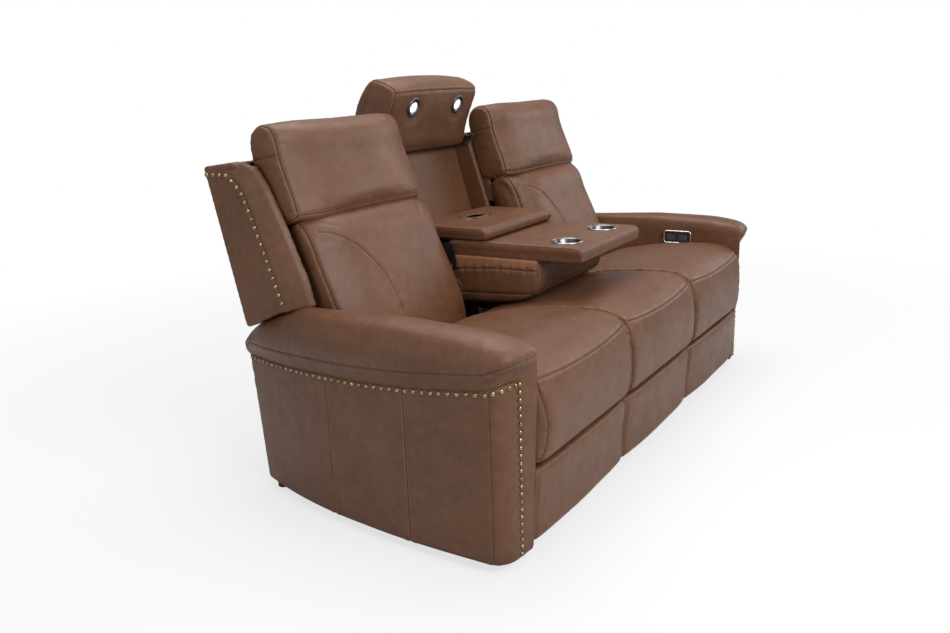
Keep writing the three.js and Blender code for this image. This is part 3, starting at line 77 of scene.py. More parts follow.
def ramp(tree, value, *stops):
    node = tree.nodes.new("ShaderNodeValToRGB")
    elements = node.color_ramp.elements
    while len(elements) < len(stops):
        elements.new(0.5)
    for element, (place, colour) in zip(elements, stops):
        element.position = place
        element.color = (*colour, 1)
    feed(tree, node, {"Fac": value})
    return node.outputs["Color"]


def noise(tree, coords, scale, detail, rough=0.55, distortion=0.0, out="Fac"):
    return add_node(tree, "TexNoise", {"Vector": coords, "Scale": scale, "Detail": detail, "Roughness": rough,
                                       "Distortion": distortion}, out)


def mixed(tree, factor, a, b, blend="MIX"):
    return add_node(tree, "Mix", {0: factor, 6: a, 7: b}, 2, data_type="RGBA", blend_type=blend)


def map_range(tree, value, low, high, to_low, to_high):
    return add_node(tree, "MapRange", {"Value": value, "From Min": low, "From Max": high, "To Min": to_low,
                                       "To Max": to_high}, "Result")


def leather_material(name, dark, mid, light, rough=0.43):
    """Semi-aniline leather: cloudy colour, fine pebbled grain, faint creases, softly varied gloss."""
    mat, tree, shader, coords = new_material(name)
    cloud = ramp(tree, noise(tree, coords, 5.0, 4.0, 0.6, 0.3), (0.30, dark), (0.50, mid), (0.72, light))
    mottle = ramp(tree, noise(tree, coords, 38.0, 8.0, 0.62, 0.2), (0.36, dark), (0.52, mid), (0.68, light))
    warp = noise(tree, coords, 120.0, 2.0, out="Color")
    shifted = add_node(tree, "VectorMath", {0: warp, 1: (0.0035, 0.0035, 0.0035), 2: coords}, "Vector",
                       operation="MULTIPLY_ADD")
    pebble = add_node(tree, "TexVoronoi", {"Vector": shifted, "Scale": 620.0}, "Distance",
                      feature="DISTANCE_TO_EDGE")
    creases = map_range(tree, pebble, 0.0, 0.16, 0.0, 1.0)
    crease_tone = map_range(tree, pebble, 0.0, 0.12, 0.80, 1.0)
    gloss = noise(tree, coords, 14.0, 5.0)
    folds = add_node(tree, "Bump", {"Strength": 0.35, "Distance": 0.0014,
                                    "Height": noise(tree, coords, 30.0, 3.0, 0.5, 0.6)}, "Normal")
    grain = add_node(tree, "Bump", {"Strength": 0.35, "Distance": 0.0003, "Height": creases, "Normal": folds},
                     "Normal")
    feed(tree, shader, {
        "Base Color": mixed(tree, 0.5, mixed(tree, 0.5, cloud, mottle), crease_tone, "MULTIPLY"),
        "Roughness": map_range(tree, gloss, 0.3, 0.7, rough - 0.06, rough + 0.07),
        "Specular IOR Level": 0.34, "Normal": grain})
    return mat


def metal_material(name, dark, light, rough, scale=60.0, metallic=1.0, bump=0.0004, painted_rim_shade=0.0):
    """Metal or plastic with brushed or worn variation from layered noise, and painted shade darkening it
    towards its rim.
    """
    mat, tree, shader, coords = new_material(name)
    tone = ramp(tree, noise(tree, coords, scale, 6.0, 0.6), (0.32, dark), (0.66, light))
    # Painted shade: the colour darkens where the surface turns away from the view, by the given share at the
    # rim.
    slope = add_node(tree, "LayerWeight", {}, "Facing")
    painted_rim_dimming = map_range(tree, slope, 0.25, 0.85, 1.0, 1.0 - painted_rim_shade)
    fine = noise(tree, coords, scale * 9, 3.0)
    feed(tree, shader, {
        "Base Color": mixed(tree, 1.0, tone, painted_rim_dimming, "MULTIPLY"),
        "Roughness": map_range(tree, fine, 0.3, 0.7, rough * 0.8, rough * 1.25), "Metallic": metallic,
        "Normal": add_node(tree, "Bump", {"Strength": 0.25, "Distance": bump, "Height": fine}, "Normal")})
    return mat


def timber_material(name):
    mat, tree, shader, coords = new_material(name)
    grain = add_node(tree, "TexWave", {"Vector": coords, "Scale": 9.0, "Distortion": 7.0, "Detail": 4.0},
                     "Fac")
    feed(tree, shader, {
        "Base Color": ramp(tree, grain, (0.2, (0.045, 0.026, 0.014)), (0.8, (0.075, 0.045, 0.025))),
        "Roughness": 0.62,
        "Normal": add_node(tree, "Bump", {"Distance": 0.0005, "Height": grain}, "Normal")})
    return mat


LEATHER = leather_material("leather_brown", (0.080, 0.032, 0.0138), (0.105, 0.0435, 0.020),
                           (0.134, 0.059, 0.029))
WARM_LEATHER = leather_material("leather_warm", (0.120, 0.047, 0.020), (0.152, 0.061, 0.027),
                                (0.190, 0.080, 0.037))
# A dark leather for the cords laid in the seams: painted shadow that stands for the shade in each seam's gap.
SEAM_SHADOW = leather_material("painted_seam_shadow", (0.045, 0.017, 0.010), (0.055, 0.022, 0.013), (0.07, 0.028, 0.017),
                        0.6)
THREAD = metal_material("waxed_thread", (0.19, 0.085, 0.05), (0.33, 0.17, 0.10), 0.55, 400.0, 0.0)
# The nail heads darken towards their rims as painted shade.
BRASS = metal_material("antique_brass", (0.12, 0.085, 0.04), (0.46, 0.36, 0.20), 0.30, 130.0, painted_rim_shade=0.8)
BLACK_STEEL = metal_material("black_steel", (0.016, 0.016, 0.017), (0.034, 0.034, 0.036), 0.42, 45.0, 0.6)
ZINC = metal_material("zinc_steel", (0.36, 0.37, 0.38), (0.56, 0.57, 0.58), 0.34, 70.0)
BRIGHT = metal_material("bright_steel", (0.40, 0.40, 0.38), (0.60, 0.59, 0.57), 0.24, 220.0)
GUNMETAL = metal_material("gunmetal", (0.075, 0.078, 0.085), (0.16, 0.165, 0.175), 0.3, 160.0)
BLACK_PLASTIC = metal_material("black_plastic", (0.010, 0.010, 0.011), (0.02, 0.02, 0.021), 0.38, 90.0, 0.0)
KEY_PLASTIC = metal_material("key_plastic", (0.03, 0.03, 0.032), (0.05, 0.05, 0.053), 0.45, 120.0, 0.0)
TIMBER = timber_material("frame_timber")
LENS = metal_material("lens_glass", (0.80, 0.80, 0.78), (0.92, 0.92, 0.90), 0.2, 300.0, 0.0, 0.0002)
feed(LENS.node_tree, LENS.node_tree.nodes["Principled BSDF"],
     {"Emission Color": (1.0, 0.98, 0.95, 1), "Emission Strength": 0.7})


# Curves and lofts

def rows(*columns):
    """Points from their columns, where a single number stands for a whole column."""
    return np.column_stack(np.broadcast_arrays(*columns))


def unit(vectors):
    return vectors / (np.linalg.norm(vectors, axis=-1, keepdims=True) + 1e-9)


def run_of(points):
    """How far along its line each point lies."""
    return np.concatenate([[0], np.cumsum(np.linalg.norm(np.diff(points, axis=0), axis=1))])


def between(want, run, points):
    """The places at the wanted runs along a line."""
    return np.stack([np.interp(want, run, points[:, k]) for k in range(points.shape[1])], -1)


def resample(points, step, closed=False):
    pts = np.array(points, float)
    run = run_of(pts)
    count = max(2, int(round(run[-1] / step)))
    want = np.linspace(0, run[-1], count + 1)
    return between(want[:-1] if closed else want, run, pts)


def in_parts(points, count, closed=False):
    return resample(points, run_of(points)[-1] / count, closed)


def blend(t, t_a, t_b, a, b):
    return (t_b - t) / (t_b - t_a) * a + (t - t_a) / (t_b - t_a) * b


def spline(points, closed=False, step=8.0):
    """Centripetal curve through the points, resampled at even steps."""
    pts = [np.array(p, float) for p in points]
    count = len(pts)
    out = []
    for i in range(count if closed else count - 1):
        p1, p2 = pts[i], pts[(i + 1) % count]
        p0 = pts[i - 1] if closed or i > 0 else 2 * p1 - p2
        p3 = pts[(i + 2) % count] if closed or i + 2 < count else 2 * p2 - p1
        spans = [max(1e-6, np.linalg.norm(b - a)) ** 0.5 for a, b in ((p0, p1), (p1, p2), (p2, p3))]
        t0, t1, t2, t3 = np.cumsum([0.0, *spans])
        for t in np.linspace(t1, t2, 24, endpoint=False):
            a1, a2, a3 = blend(t, t0, t1, p0, p1), blend(t, t1, t2, p1, p2), blend(t, t2, t3, p2, p3)
            out.append(blend(t, t1, t2, blend(t, t0, t2, a1, a2), blend(t, t1, t3, a2, a3)))
    out.append(pts[0] if closed else pts[-1])
    return resample(out, step, closed)


def circle(sides):
    turns = np.linspace(0, 2 * math.pi, sides, endpoint=False)
    return np.column_stack([np.cos(turns), np.sin(turns)])


def ring_round(centre, radius, across, up, sides):
    """Points round a centre, in the plane of two directions."""
    turns = circle(sides)
    return centre + radius * (turns[:, :1] * across + turns[:, 1:] * up)


def normals_2d(profile):
    after = np.roll(profile, -1, 0)
    tangent = unit(after - np.roll(profile, 1, 0))
    area = 0.5 * np.sum(profile[:, 0] * after[:, 1] - after[:, 0] * profile[:, 1])
    turn = 1 if area > 0 else -1
    return turn * np.stack([tangent[:, 1], -tangent[:, 0]], 1)


def outward(verts, faces):
    """Turns the faces of a closed body outwards."""
    total = 0.0
    for f in faces:
        for k in range(1, len(f) - 1):
            total += np.dot(verts[f[0]], np.cross(verts[f[k]], verts[f[k + 1]]))
    if total < 0:
        faces = [tuple(reversed(f)) for f in faces]
    return verts, faces


def loft(rings, endless=False):
    """Closed body from equal rings, with a fan at each end or the last ring joined to the first."""
    count, levels = len(rings[0]), len(rings)
    pairs = [(i, (i + 1) % count) for i in range(count)]
    faces = []
    for r in range(levels if endless else levels - 1):
        low, high = r * count, (r + 1) % levels * count
        faces += [(low + i, low + j, high + j, high + i) for i, j in pairs]
    if endless:
        return outward(np.concatenate(rings), faces)
    end = levels * count
    for i, j in pairs:
        faces += [(i, end, j), (end - count + i, end - count + j, end + 1)]
    return outward(np.concatenate([*rings, [np.mean(rings[0], 0)], [np.mean(rings[-1], 0)]]), faces)


def turned(profile, sides, place=(0, 0, 0), endless=False):
    """A section [radius, height] turned round its axis."""
    place = np.array(place, float)
    return loft([rows(*(radius * circle(sides)).T, height) + place for radius, height in profile], endless)


def x_cushion(profile, x0, x1, edge, crown, towards, shape=None, power=2.6):
    """A side profile carried across x with round ends and a crown towards one direction."""
    normals = normals_2d(profile)
    lift = np.clip(normals @ (np.array(towards, float) / np.hypot(*towards)), 0, None)
    turns = [i / 6 * math.pi / 2 for i in range(7)]
    end = [(edge * (1 - math.cos(turn)), edge * (1 - math.sin(turn))) for turn in turns]
    stations = [(x0 + run, inset) for run, inset in end]
    stations += [(x0 + edge + (x1 - x0 - 2 * edge) * i / 20, 0.0) for i in range(1, 20)]
    stations += [(x1 - run, inset) for run, inset in reversed(end)]
    rings = []
    for x, inset in stations:
        across = (2 * x - x0 - x1) / (x1 - x0)
        out = crown * (1 - abs(across) ** power) * lift - inset
        ring = rows(x, *(profile + normals * out[:, None]).T)
        rings.append(shape(ring, across) if shape else ring)
    return loft(rings)


def prism_x(points, x0, x1, bevel=0.6):
    """A side outline carried across x, its edges eased."""
    ring = np.array(points, float)
    n = normals_2d(ring)
    return loft([rows(x, *(ring - n * inset).T)
                 for x, inset in ((x0, bevel), (x0 + bevel, 0), (x1 - bevel, 0), (x1, bevel))])


def placed(shares, y0, z0, depth, height):
    return [(y0 + u * depth, z0 + v * height) for u, v in shares]


def leaned(points, form):
    """Turns [x, back, up] about the form's foot so that it leans back."""
    lean = math.radians(form["lean"])
    c, s = math.cos(lean), math.sin(lean)
    x, back, up = np.moveaxis(np.array(points, float), -1, 0)
    return np.stack([x, back * c + up * s + form["foot"][0], -back * s + up * c + form["foot"][1]], -1)


def unleaned(verts, form):
    """How far back and up each place lies in the form's own lean."""
    lean = math.radians(form["lean"])
    c, s = math.cos(lean), math.sin(lean)
    dy, dz = verts[:, 1] - form["foot"][0], verts[:, 2] - form["foot"][1]
    return dy * c - dz * s, dy * s + dz * c


# Meshes

def to_object(name, verts, faces):
    mesh = bpy.data.meshes.new(name)
    mesh.from_pydata([tuple(v) for v in np.asarray(verts) * MM], [], [tuple(f) for f in faces])
    mesh.validate()
    mesh.update()
    mesh.polygons.foreach_set("use_smooth", [True] * len(mesh.polygons))
    obj = bpy.data.objects.new(name, mesh)
    bpy.context.scene.collection.objects.link(obj)
    return obj


def read_rows(items, field):
    values = np.empty(len(items) * 3)
    items.foreach_get(field, values)
    return values.reshape(-1, 3)


def faces_of(mesh):
    return [tuple(p.vertices) for p in mesh.polygons]


def arrays_of(mesh):
    return read_rows(mesh.vertices, "co") / MM, faces_of(mesh)


def evaluated_arrays(obj):
    result = obj.evaluated_get(bpy.context.evaluated_depsgraph_get())
    arrays = arrays_of(result.to_mesh())
    result.to_mesh_clear()
    return arrays


def drop(obj):
    mesh = obj.data
    bpy.data.objects.remove(obj, do_unlink=True)
    bpy.data.meshes.remove(mesh)


def modified(verts, faces, *modifiers):
    """A body after modifiers, each given as its kind and its settings."""
    obj = to_object("work", verts, faces)
    for kind, settings in modifiers:
        mod = obj.modifiers.new(kind, kind)
        for name, value in settings.items():
            setattr(mod, name, value)
    result = evaluated_arrays(obj)
    drop(obj)
    return result


def remeshed(verts, faces, voxel, relax=0):
    """Even quads over a closed body, relaxed so that no facet of its making shows."""
    steps = [("REMESH", dict(mode="VOXEL", voxel_size=voxel * MM))]
    if relax:
        steps.append(("CORRECTIVE_SMOOTH", dict(iterations=relax, use_only_smooth=True, factor=0.5)))
    return modified(verts, faces, *steps)


def vertex_normals(verts, faces):
    normal = np.zeros_like(verts)
    quads = np.array([f if len(f) == 4 else (*f, f[-1]) for f in faces if len(f) in (3, 4)])
    a, b, c, d = (verts[quads[:, k]] for k in range(4))
    face_normal = np.cross(c - a, d - b)
    for k in range(4):
        np.add.at(normal, quads[:, k], face_normal)
    return normal / (np.linalg.norm(normal, axis=1)[:, None] + 1e-12)


def relaxed(verts, faces, rounds):
    """Moves each place half way to the middle of its neighbours."""
    pairs = np.array(sorted({tuple(sorted(pair)) for f in faces for pair in zip(f, f[1:] + f[:1])}))
    degree = np.zeros(len(verts))
    for k in (0, 1):
        np.add.at(degree, pairs[:, k], 1)
    out = verts.copy()
    for _ in range(rounds):
        total = np.zeros_like(out)
        np.add.at(total, pairs[:, 0], out[pairs[:, 1]])
        np.add.at(total, pairs[:, 1], out[pairs[:, 0]])
        out = out + (total / np.maximum(degree, 1)[:, None] - out) * 0.5
    return out


def mirrored(verts, faces):
    return verts * np.array([-1.0, 1, 1]), [tuple(reversed(f)) for f in faces]


def sided(form, side):
    """A form as it is for +X, mirrored for -X."""
    return form if side > 0 else mirrored(*form)


def joined(parts):
    verts, faces, base = [], [], 0
    for v, f in parts:
        verts.append(v)
        faces.extend(tuple(k + base for k in face) for face in f)
        base += len(v)
    return np.concatenate(verts), faces


def nearest_on_lines(verts, lines, reach):
    """For each vertex: distance to the nearest seam point, how far along its seam that is, and which seam."""
    tree = KDTree(sum(len(line) for line in lines))
    phase_step = 977.0
    runs, owners = [], []
    near = np.zeros(len(verts), bool)
    for number, line in enumerate(lines):
        for point in line.tolist():
            tree.insert(point, len(owners))
            owners.append(number)
        runs.extend((run_of(line) + phase_step * number).tolist())
        near |= np.all((verts > line.min(0) - reach) & (verts < line.max(0) + reach), axis=1)
    tree.balance()
    best = np.full(len(verts), 1e9)
    along = np.zeros(len(verts))
    which = np.full(len(verts), -1)
    chosen = np.where(near)[0]
    for i, point in zip(chosen.tolist(), verts[chosen].tolist()):
        _, k, best[i] = tree.find(point)
        along[i] = runs[k]
        which[i] = owners[k]
    return best, along, which


class Surface:
    """A surface that lines are laid on."""

    def __init__(self, verts, faces):
        self.tree = BVHTree.FromPolygons(verts.tolist(), faces)

    def lay(self, line, step=4.0):
        """The nearest places on the surface, and the normals there."""
        found = [self.tree.find_nearest(point)[:2] for point in resample(line, step).tolist()]
        places, normals = (np.array([pair[k][:] for pair in found]) for k in (0, 1))
        for _ in range(2):
            normals[1:-1] = (normals[:-2] + 2 * normals[1:-1] + normals[2:]) / 4
        return places, unit(normals)


def near_surface(verts, faces, near):
    """A surface of only the faces that lie near the seams."""
    return Surface(verts, [f for f in faces if near[f[0]]])


def bare_mesh(verts, faces):
    mesh = bpy.data.meshes.new("work")
    mesh.from_pydata([tuple(v) for v in verts], [], faces)
    mesh.update()
    return mesh


def refined(verts, faces, lines, reach, rounds):
    """Cuts the faces near the seams finer, so that a groove has its own edges."""
    mesh = bare_mesh(verts, faces)
    bm = bmesh.new()
    bm.from_mesh(mesh)
    for _ in range(rounds):
        gap = nearest_on_lines(np.array([v.co[:] for v in bm.verts]), lines, reach)[0]
        bm.verts.ensure_lookup_table()
        inside = gap < reach
        edges = [e for e in bm.edges if inside[e.verts[0].index] and inside[e.verts[1].index]]
        bmesh.ops.subdivide_edges(bm, edges=edges, cuts=1, use_grid_fill=True, smooth=0.0)
        bm.verts.index_update()
        reach *= 0.62
    bm.to_mesh(mesh)
    bm.free()
    result = read_rows(mesh.vertices, "co"), faces_of(mesh)
    bpy.data.meshes.remove(mesh)
    return result


def mesh_normals(verts, faces):
    mesh = bare_mesh(verts, faces)
    out = read_rows(mesh.vertices, "normal")
    bpy.data.meshes.remove(mesh)
    return out


# Seams

def seam(line, depth, width, pucker, pitch, reach=16.0, swell=0.9, cord=0.9, stitch=()):
    """A seam: its groove, the puckers and swell beside it, its painted shadow cord's radius and where stitches
    run.
    """
    return dict(line=np.array(line, float), depth=depth, width=width, pucker=pucker, pitch=pitch, reach=reach,
                swell=swell, cord=cord, stitch=stitch)


def flip_seams(seams, side):
    return [dict(s, line=s["line"] * np.array([side, 1.0, 1.0])) for s in seams]


def wave(values, seed, pitch):
    """Smooth pseudo-random wave along a seam, from three unequal sines."""
    a, b, c = 2.1 + seed * 1.7, 0.6 + seed * 2.3, 4.4 + seed * 0.9
    w = values * 2 * math.pi / pitch
    return (np.sin(w + a) + 0.7 * np.sin(w * 0.61 + b) + 0.5 * np.sin(w * 1.73 + c)) / 2.2


GROOVE_BAND, THREAD_BAND, SEAM_BAND = 15.0, 18.0, 45.0
SWELL_AT, SWELL_WIDTH = 13.0, 8.0


def sewn(verts, faces, seams, seed):
    """Grooves and puckers along seams, and which vertices lie near one."""
    lines = [s["line"] for s in seams]
    verts, faces = refined(verts, faces, lines, GROOVE_BAND, 2)
    gap, along, which = nearest_on_lines(verts, lines, SEAM_BAND)
    shift = np.zeros(len(verts))
    for number, s in enumerate(seams):
        mine = which == number
        d = gap[mine]
        groove = -s["depth"] * np.exp(-(d / s["width"]) ** 2)
        swell = s["swell"] * np.exp(-((d - SWELL_AT) / SWELL_WIDTH) ** 2)
        fade = np.exp(-d / s["reach"]) * np.minimum(1, d / 5.0)
        shift[mine] = groove + swell + s["pucker"] * fade * wave(along[mine], seed + number, s["pitch"])
    return verts + mesh_normals(verts, faces) * shift[:, None], faces, gap < THREAD_BAND


def side_directions(points, normals):
    """The direction across a laid line at each of its points, along the surface."""
    ends = np.concatenate([points[:1], points, points[-1:]])
    return unit(np.cross(normals, ends[2:] - ends[:-2]))


def tube(points, normals, radius, sides=6, sink=0.2):
    """A slightly flat bead that follows a line laid on a surface."""
    return loft([ring_round(p - n * sink, radius, side, 0.8 * n, sides)
                 for p, n, side in zip(points, normals, side_directions(points, normals))])


def stitches(points, normals):
    """Single stitches of waxed thread, each a short bead with tapered ends."""
    pitch, length, radius, lift = 7.5, 5.2, 0.75, 0.25
    run = run_of(points)
    parts = []
    for start in np.arange(pitch / 2, run[-1] - pitch / 2, pitch):
        before, middle, after = (between(start + o, run, points) for o in (-length / 2, 0, length / 2))
        n = unit(between(start, run, normals))
        t = unit(after - before)
        rings = []
        for share, size in ((-0.5, 0.35), (-0.25, 0.95), (0.25, 0.95), (0.5, 0.35)):
            centre = middle + t * share * length + n * (lift - 0.5 * (1 - size) * radius)
            rings.append(ring_round(centre, size * radius, np.cross(n, t), n, 6))
        parts.append(loft(rings))
    return parts


def finish_piece(name, form, body, material, nodes=(), warm=None):
    """Makes a piece's object and says which body it rides, what it replaces and what it is."""
    obj = to_object(name, *form)
    obj.data.materials.append(material)
    if warm is not None:
        obj.data.materials.append(WARM_LEATHER)
        share = warm(read_rows(obj.data.polygons, "center") / MM)
        obj.data.polygons.foreach_set("material_index", share.astype(np.int32))
    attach(obj, body)
    if nodes:
        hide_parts(*nodes)


def add_threads(name, surface, seams, body, side=1):
    """Stitching, and a dark cord in each join as painted shadow of its gap, laid on the finished surface."""
    threads, seam_shadow_tubes = [], []
    for s in seams:
        line, normals = surface.lay(s["line"], 3.5)
        # Each seam's dark cord is painted shadow in the seam's gap.
        if s["cord"]:
            seam_shadow_tubes.append(tube(line, normals, s["cord"]))
        for off in s["stitch"]:
            threads += stitches(*surface.lay(line + side_directions(line, normals) * off))
    for suffix, parts, material in (("_stitching", threads, THREAD), ("_seam_shadows", seam_shadow_tubes, SEAM_SHADOW)):
        if parts:
            finish_piece(name + suffix, sided(joined(parts), side), body, material)


def sewn_piece(name, form, seams, body, node, seed, warm=None, smooth=True):
    """Subdivides a form, sews it, and adds its stitching and the dark cords painted as shadow in its seams."""
    plain = Surface(*form)
    laid = [dict(s, line=plain.lay(s["line"], 3.0)[0]) for s in seams]
    if smooth:
        form = modified(*form, ("SUBSURF", dict(levels=1, render_levels=1)))
    if laid:
        *form, near = sewn(*form, laid, seed)
    finish_piece(name, form, body, LEATHER, [node], warm)
    if laid:
        add_threads(name, near_surface(*form, near), laid, body)


# Cloth

CLOTH = []
PIN_REACH = 9.0
CLOTH_FRAMES = 20
CLOTH_SETTINGS = dict(
    quality=4, mass=0.3, tension_stiffness=12, compression_stiffness=12, shear_stiffness=4,
    bending_stiffness=1.2, air_damping=3.0, use_pressure=True, vertex_group_mass="pins")


def ease_from_pins(gap):
    return np.clip((gap - PIN_REACH) / 45.0, 0, 1)


def padded_form(key, form, pins, voxel, shrink, cap, pressure, free=None):
    """Queues a body for the padding simulation: even quads, drawn in a little, held along its seams."""
    verts, faces = remeshed(*form, voxel, 5)
    gap = nearest_on_lines(verts, pins, 60.0)[0]
    loose = free(verts) if free else np.ones(len(verts))
    shift = shrink * loose * (0.35 + 0.65 * ease_from_pins(gap))
    verts = verts - vertex_normals(verts, faces) * shift[:, None]
    CLOTH.append(dict(key=key, verts=verts, faces=faces, gap=gap, cap=cap, pressure=pressure, loose=loose))


def start_cloth(job):
    """The object of one queued body, held at its pins and under pressure."""
    obj = to_object("cloth_" + job["key"], job["verts"], job["faces"])
    held = np.where(job["gap"] < PIN_REACH)[0]
    obj.vertex_groups.new(name="pins").add([int(i) for i in held], 1.0, "REPLACE")
    cloth = obj.modifiers.new("Cloth", "CLOTH")
    for name, value in CLOTH_SETTINGS.items():
        setattr(cloth.settings, name, value)
    cloth.settings.uniform_pressure_force = job["pressure"]
    cloth.settings.effector_weights.gravity = 0.0
    cloth.collision_settings.use_collision = False
    cloth.collision_settings.use_self_collision = False
    cloth.point_cache.frame_start = 1
    cloth.point_cache.frame_end = CLOTH_FRAMES
    return obj


def run_cloth():
    """Blows every queued body up together and returns the eased result of each."""
    result = {}
    objects = [start_cloth(job) for job in CLOTH]
    scene = bpy.context.scene
    for number in range(1, CLOTH_FRAMES + 1):
        scene.frame_set(number)
    for job, obj in zip(CLOTH, objects):
        moved, _ = evaluated_arrays(obj)
        step = (moved - job["verts"]) * job["loose"][:, None]
        size = np.linalg.norm(step, axis=1)
        eased = job["cap"] * np.tanh(size / job["cap"])
        verts = job["verts"] + step * (eased / np.maximum(size, 1e-6))[:, None]
        result[job["key"]] = (relaxed(verts, job["faces"], 2), job["faces"])
        drop(obj)
    scene.frame_set(1)
    return result


# Seat cushions

SEAT_SHARES = [(0.05, 0), (0.019, 0.06), (0.004, 0.225), (0, 0.42), (0.007, 0.63), (0.027, 0.81),
               (0.087, 0.94), (0.196, 1), (0.432, 0.98), (0.646, 0.93), (0.883, 0.83), (1, 0.75)]


SEAT_FRONT, SEAT_REAR, SEAT_FOOT = -499.0, 66.0, 258.0
RAIL_REAR, RAIL_TOP = -424.0, 320.0


def seat_profile(height):
    outer = spline(placed(SEAT_SHARES, SEAT_FRONT, SEAT_FOOT, SEAT_REAR - SEAT_FRONT, height), step=9.0)
    tail = resample([(SEAT_REAR, outer[-1][1]), (SEAT_REAR, RAIL_TOP), (RAIL_REAR, RAIL_TOP),
                     (RAIL_REAR, SEAT_FOOT + 1), (outer[0][0], SEAT_FOOT)], 9.0)
    return np.concatenate([outer, tail[1:-1]]), outer


def gusset(z):
    """The bow of the boxing beside the arm at each height of the front."""
    return np.sin(np.clip((z - 262.0) / 190.0, 0, 1) * math.pi)


def seat_ends(ring, across):
    """Draws the rolled front edge in at both ends, where the boxing is pleated."""
    share = np.clip((abs(across) - 0.93) / 0.07, 0, 1) ** 0.7
    z = ring[:, 2]
    pull = 14.0 * np.clip((z - 440.0) / 40.0, 0, 1) + 6.0
    if across > 0.9:
        pull = 30.0 * gusset(z) + 8.0
    ring[:, 1] += share * pull * np.clip((-420.0 - ring[:, 1]) / 40.0, 0, 1)
    return ring


def mid_seat_ends(ring, across):
    return seat_ends(ring, -abs(across))


def seat_lines(outer, x0, x1):
    """Edge seams down both sides, the seam under the front edge and the hem."""
    def side(x, inward):
        last = len(outer) - 1
        line = rows(x, *outer[int(0.02 * last):int(0.995 * last) + 1].T)
        beside_arm = 24.0 * gusset(line[:, 2]) * (line[:, 1] < -440) if x > 900 else 0.0
        line[:, 0] += inward * (4.0 + beside_arm)
        return line

    xs = np.linspace(x0 + 16, x1 - 16, 60)
    across = np.abs((2 * xs - x0 - x1) / (x1 - x0))
    rising = outer[:np.argmax(outer[:, 1])]
    front, hem = (rows(xs, np.interp(level, rising[:, 1], rising[:, 0]), level)
                  for level in (478.0 + 17.0 * across ** 2.2, np.full(60, 288.0)))
    return side(x0, 1), side(x1, -1), front, hem


def queue_seat(key, height, x0, x1, crown, shape, bottom_middle):
    profile, outer = seat_profile(height)
    lines = seat_lines(outer, x0, x1)
    bottom = [rows(np.linspace(-294, 294, 70) + bottom_middle, y, z)
              for y, z in ((66, 322), (-424, 320), (-470, 258))]
    body = x_cushion(profile, x0, x1, 15, crown, (0, 1), shape)
    padded_form(key, body, [*lines, *bottom], 9.0, 2.5, 12.0, 14.0)
    return lines


side_seat_lines = queue_seat("seat", 269.0, 303.2, 904.8, 9, seat_ends, SEAT_CENTRE)
mid_seat_lines = queue_seat("seat_mid", 266.0, -300.8, 300.8, 4, mid_seat_ends, 0.0)


# Back cushions and headrests, in [x, back, up] of their own lean

BACK_SHARES = [(0.4, 0), (0.31, 0.05), (0.2, 0.22), (0.22, 0.46), (0.28, 0.68), (0.32, 0.85), (0.42, 0.935),
               (0.6, 0.975), (0.9, 0.96), (1, 0.905), (1, 0.04), (0.9, 0)]
HEAD_SHARES = [(0.26, 0), (0.08, 0.03), (0.06, 0.12), (0.14, 0.36), (0.23, 0.62), (0.26, 0.86), (0.38, 0.96),
               (0.6, 1), (0.84, 0.965), (0.98, 0.86), (1, 0.6), (0.96, 0.22), (0.88, 0.04), (0.73, 0)]
PILLOW_SHARES = [(-0.05, 0.0), (-0.075, 0.06), (-0.045, 0.16), (0, 0.34), (0, 0.6), (0.0, 0.9), (0.06, 0.97),
                 (0.43, 1), (0.82, 0.953), (1.0, 0.761), (1.08, 0.436), (0.98, 0.162), (0.75, 0.017), (0.3, 0),
                 (0.14, -0.03), (0.02, -0.04)]
CONSOLE_SHARES = [(0.01, 1), (0, 0.68), (0.011, 0.34), (0.06, 0.24), (0.15, 0.127), (0.33, 0.05), (0.63, 0),
                  (0.9, 0.025), (0.993, 0.24), (1, 0.68), (0.984, 1)]
BACK = dict(foot=(70, 406), lean=19.3, x0=282.0, x1=906.0, depth=150.0)
HEAD = dict(foot=(268, 861), lean=11.5, x0=290.0, x1=903.0, height=286.0)
PILLOW = dict(foot=(441, 996), lean=-22.2, depth=140.0, height=234.0)
LIGHT_X, LIGHT_UP = 142.0, 148.0


def on_back(points):
    """Places on the leaning back cushion, which draws in towards its rear."""
    p = np.array(points, float)
    deep = np.clip(p[..., 1] / BACK["depth"], 0, None)
    across = (p[..., 0] - BACK["x0"]) / (BACK["x1"] - BACK["x0"])
    p[..., 0] += deep * (14.0 * (1 - across) - 42.0 * across)
    return leaned(p, BACK)


def on_head(points):
    """Places on the leaning headrest, which draws in towards its top."""
    p = np.array(points, float)
    across = 2 * (p[..., 0] - HEAD["x0"]) / (HEAD["x1"] - HEAD["x0"]) - 1
    p[..., 0] -= across * 20.0 * p[..., 2] / HEAD["height"] / 2
    return leaned(p, HEAD)


def on_pillow(points):
    return leaned(points, PILLOW)


def boxing_draw(c):
    """How far the outer boxing has drawn in at each place of the leaning back cushion."""
    back, _ = unleaned(c, BACK)
    return 42.0 * np.clip(back / BACK["depth"], 0, 1.1) - 30.0 * (back < 8)


def light_free(verts):
    """How far the padding is free to move: not at all round the two reading lights."""
    back, up = unleaned(verts, PILLOW)
    reach = np.hypot(np.abs(verts[:, 0]) - LIGHT_X, up - LIGHT_UP)
    return np.where(back < 40, np.clip((reach - 36.0) / 40.0, 0, 1) ** 2, 1.0)


def queue_leaning(key, on_form, outline, step, body, pin_places, voxel, cap, pressure, power=7.0, more=(),
                  free=None):
    """Queues a leaning cushion that is held along its profile near both ends."""
    profile = spline(outline, True, step)
    verts, faces = x_cushion(profile, *body, power=power)
    pins = [on_form(line) for line in (*(rows(x, *profile.T) for x in pin_places), *more)]
    padded_form(key, (on_form(verts), faces), pins, voxel, 3.0, cap, pressure, free)
    return pins


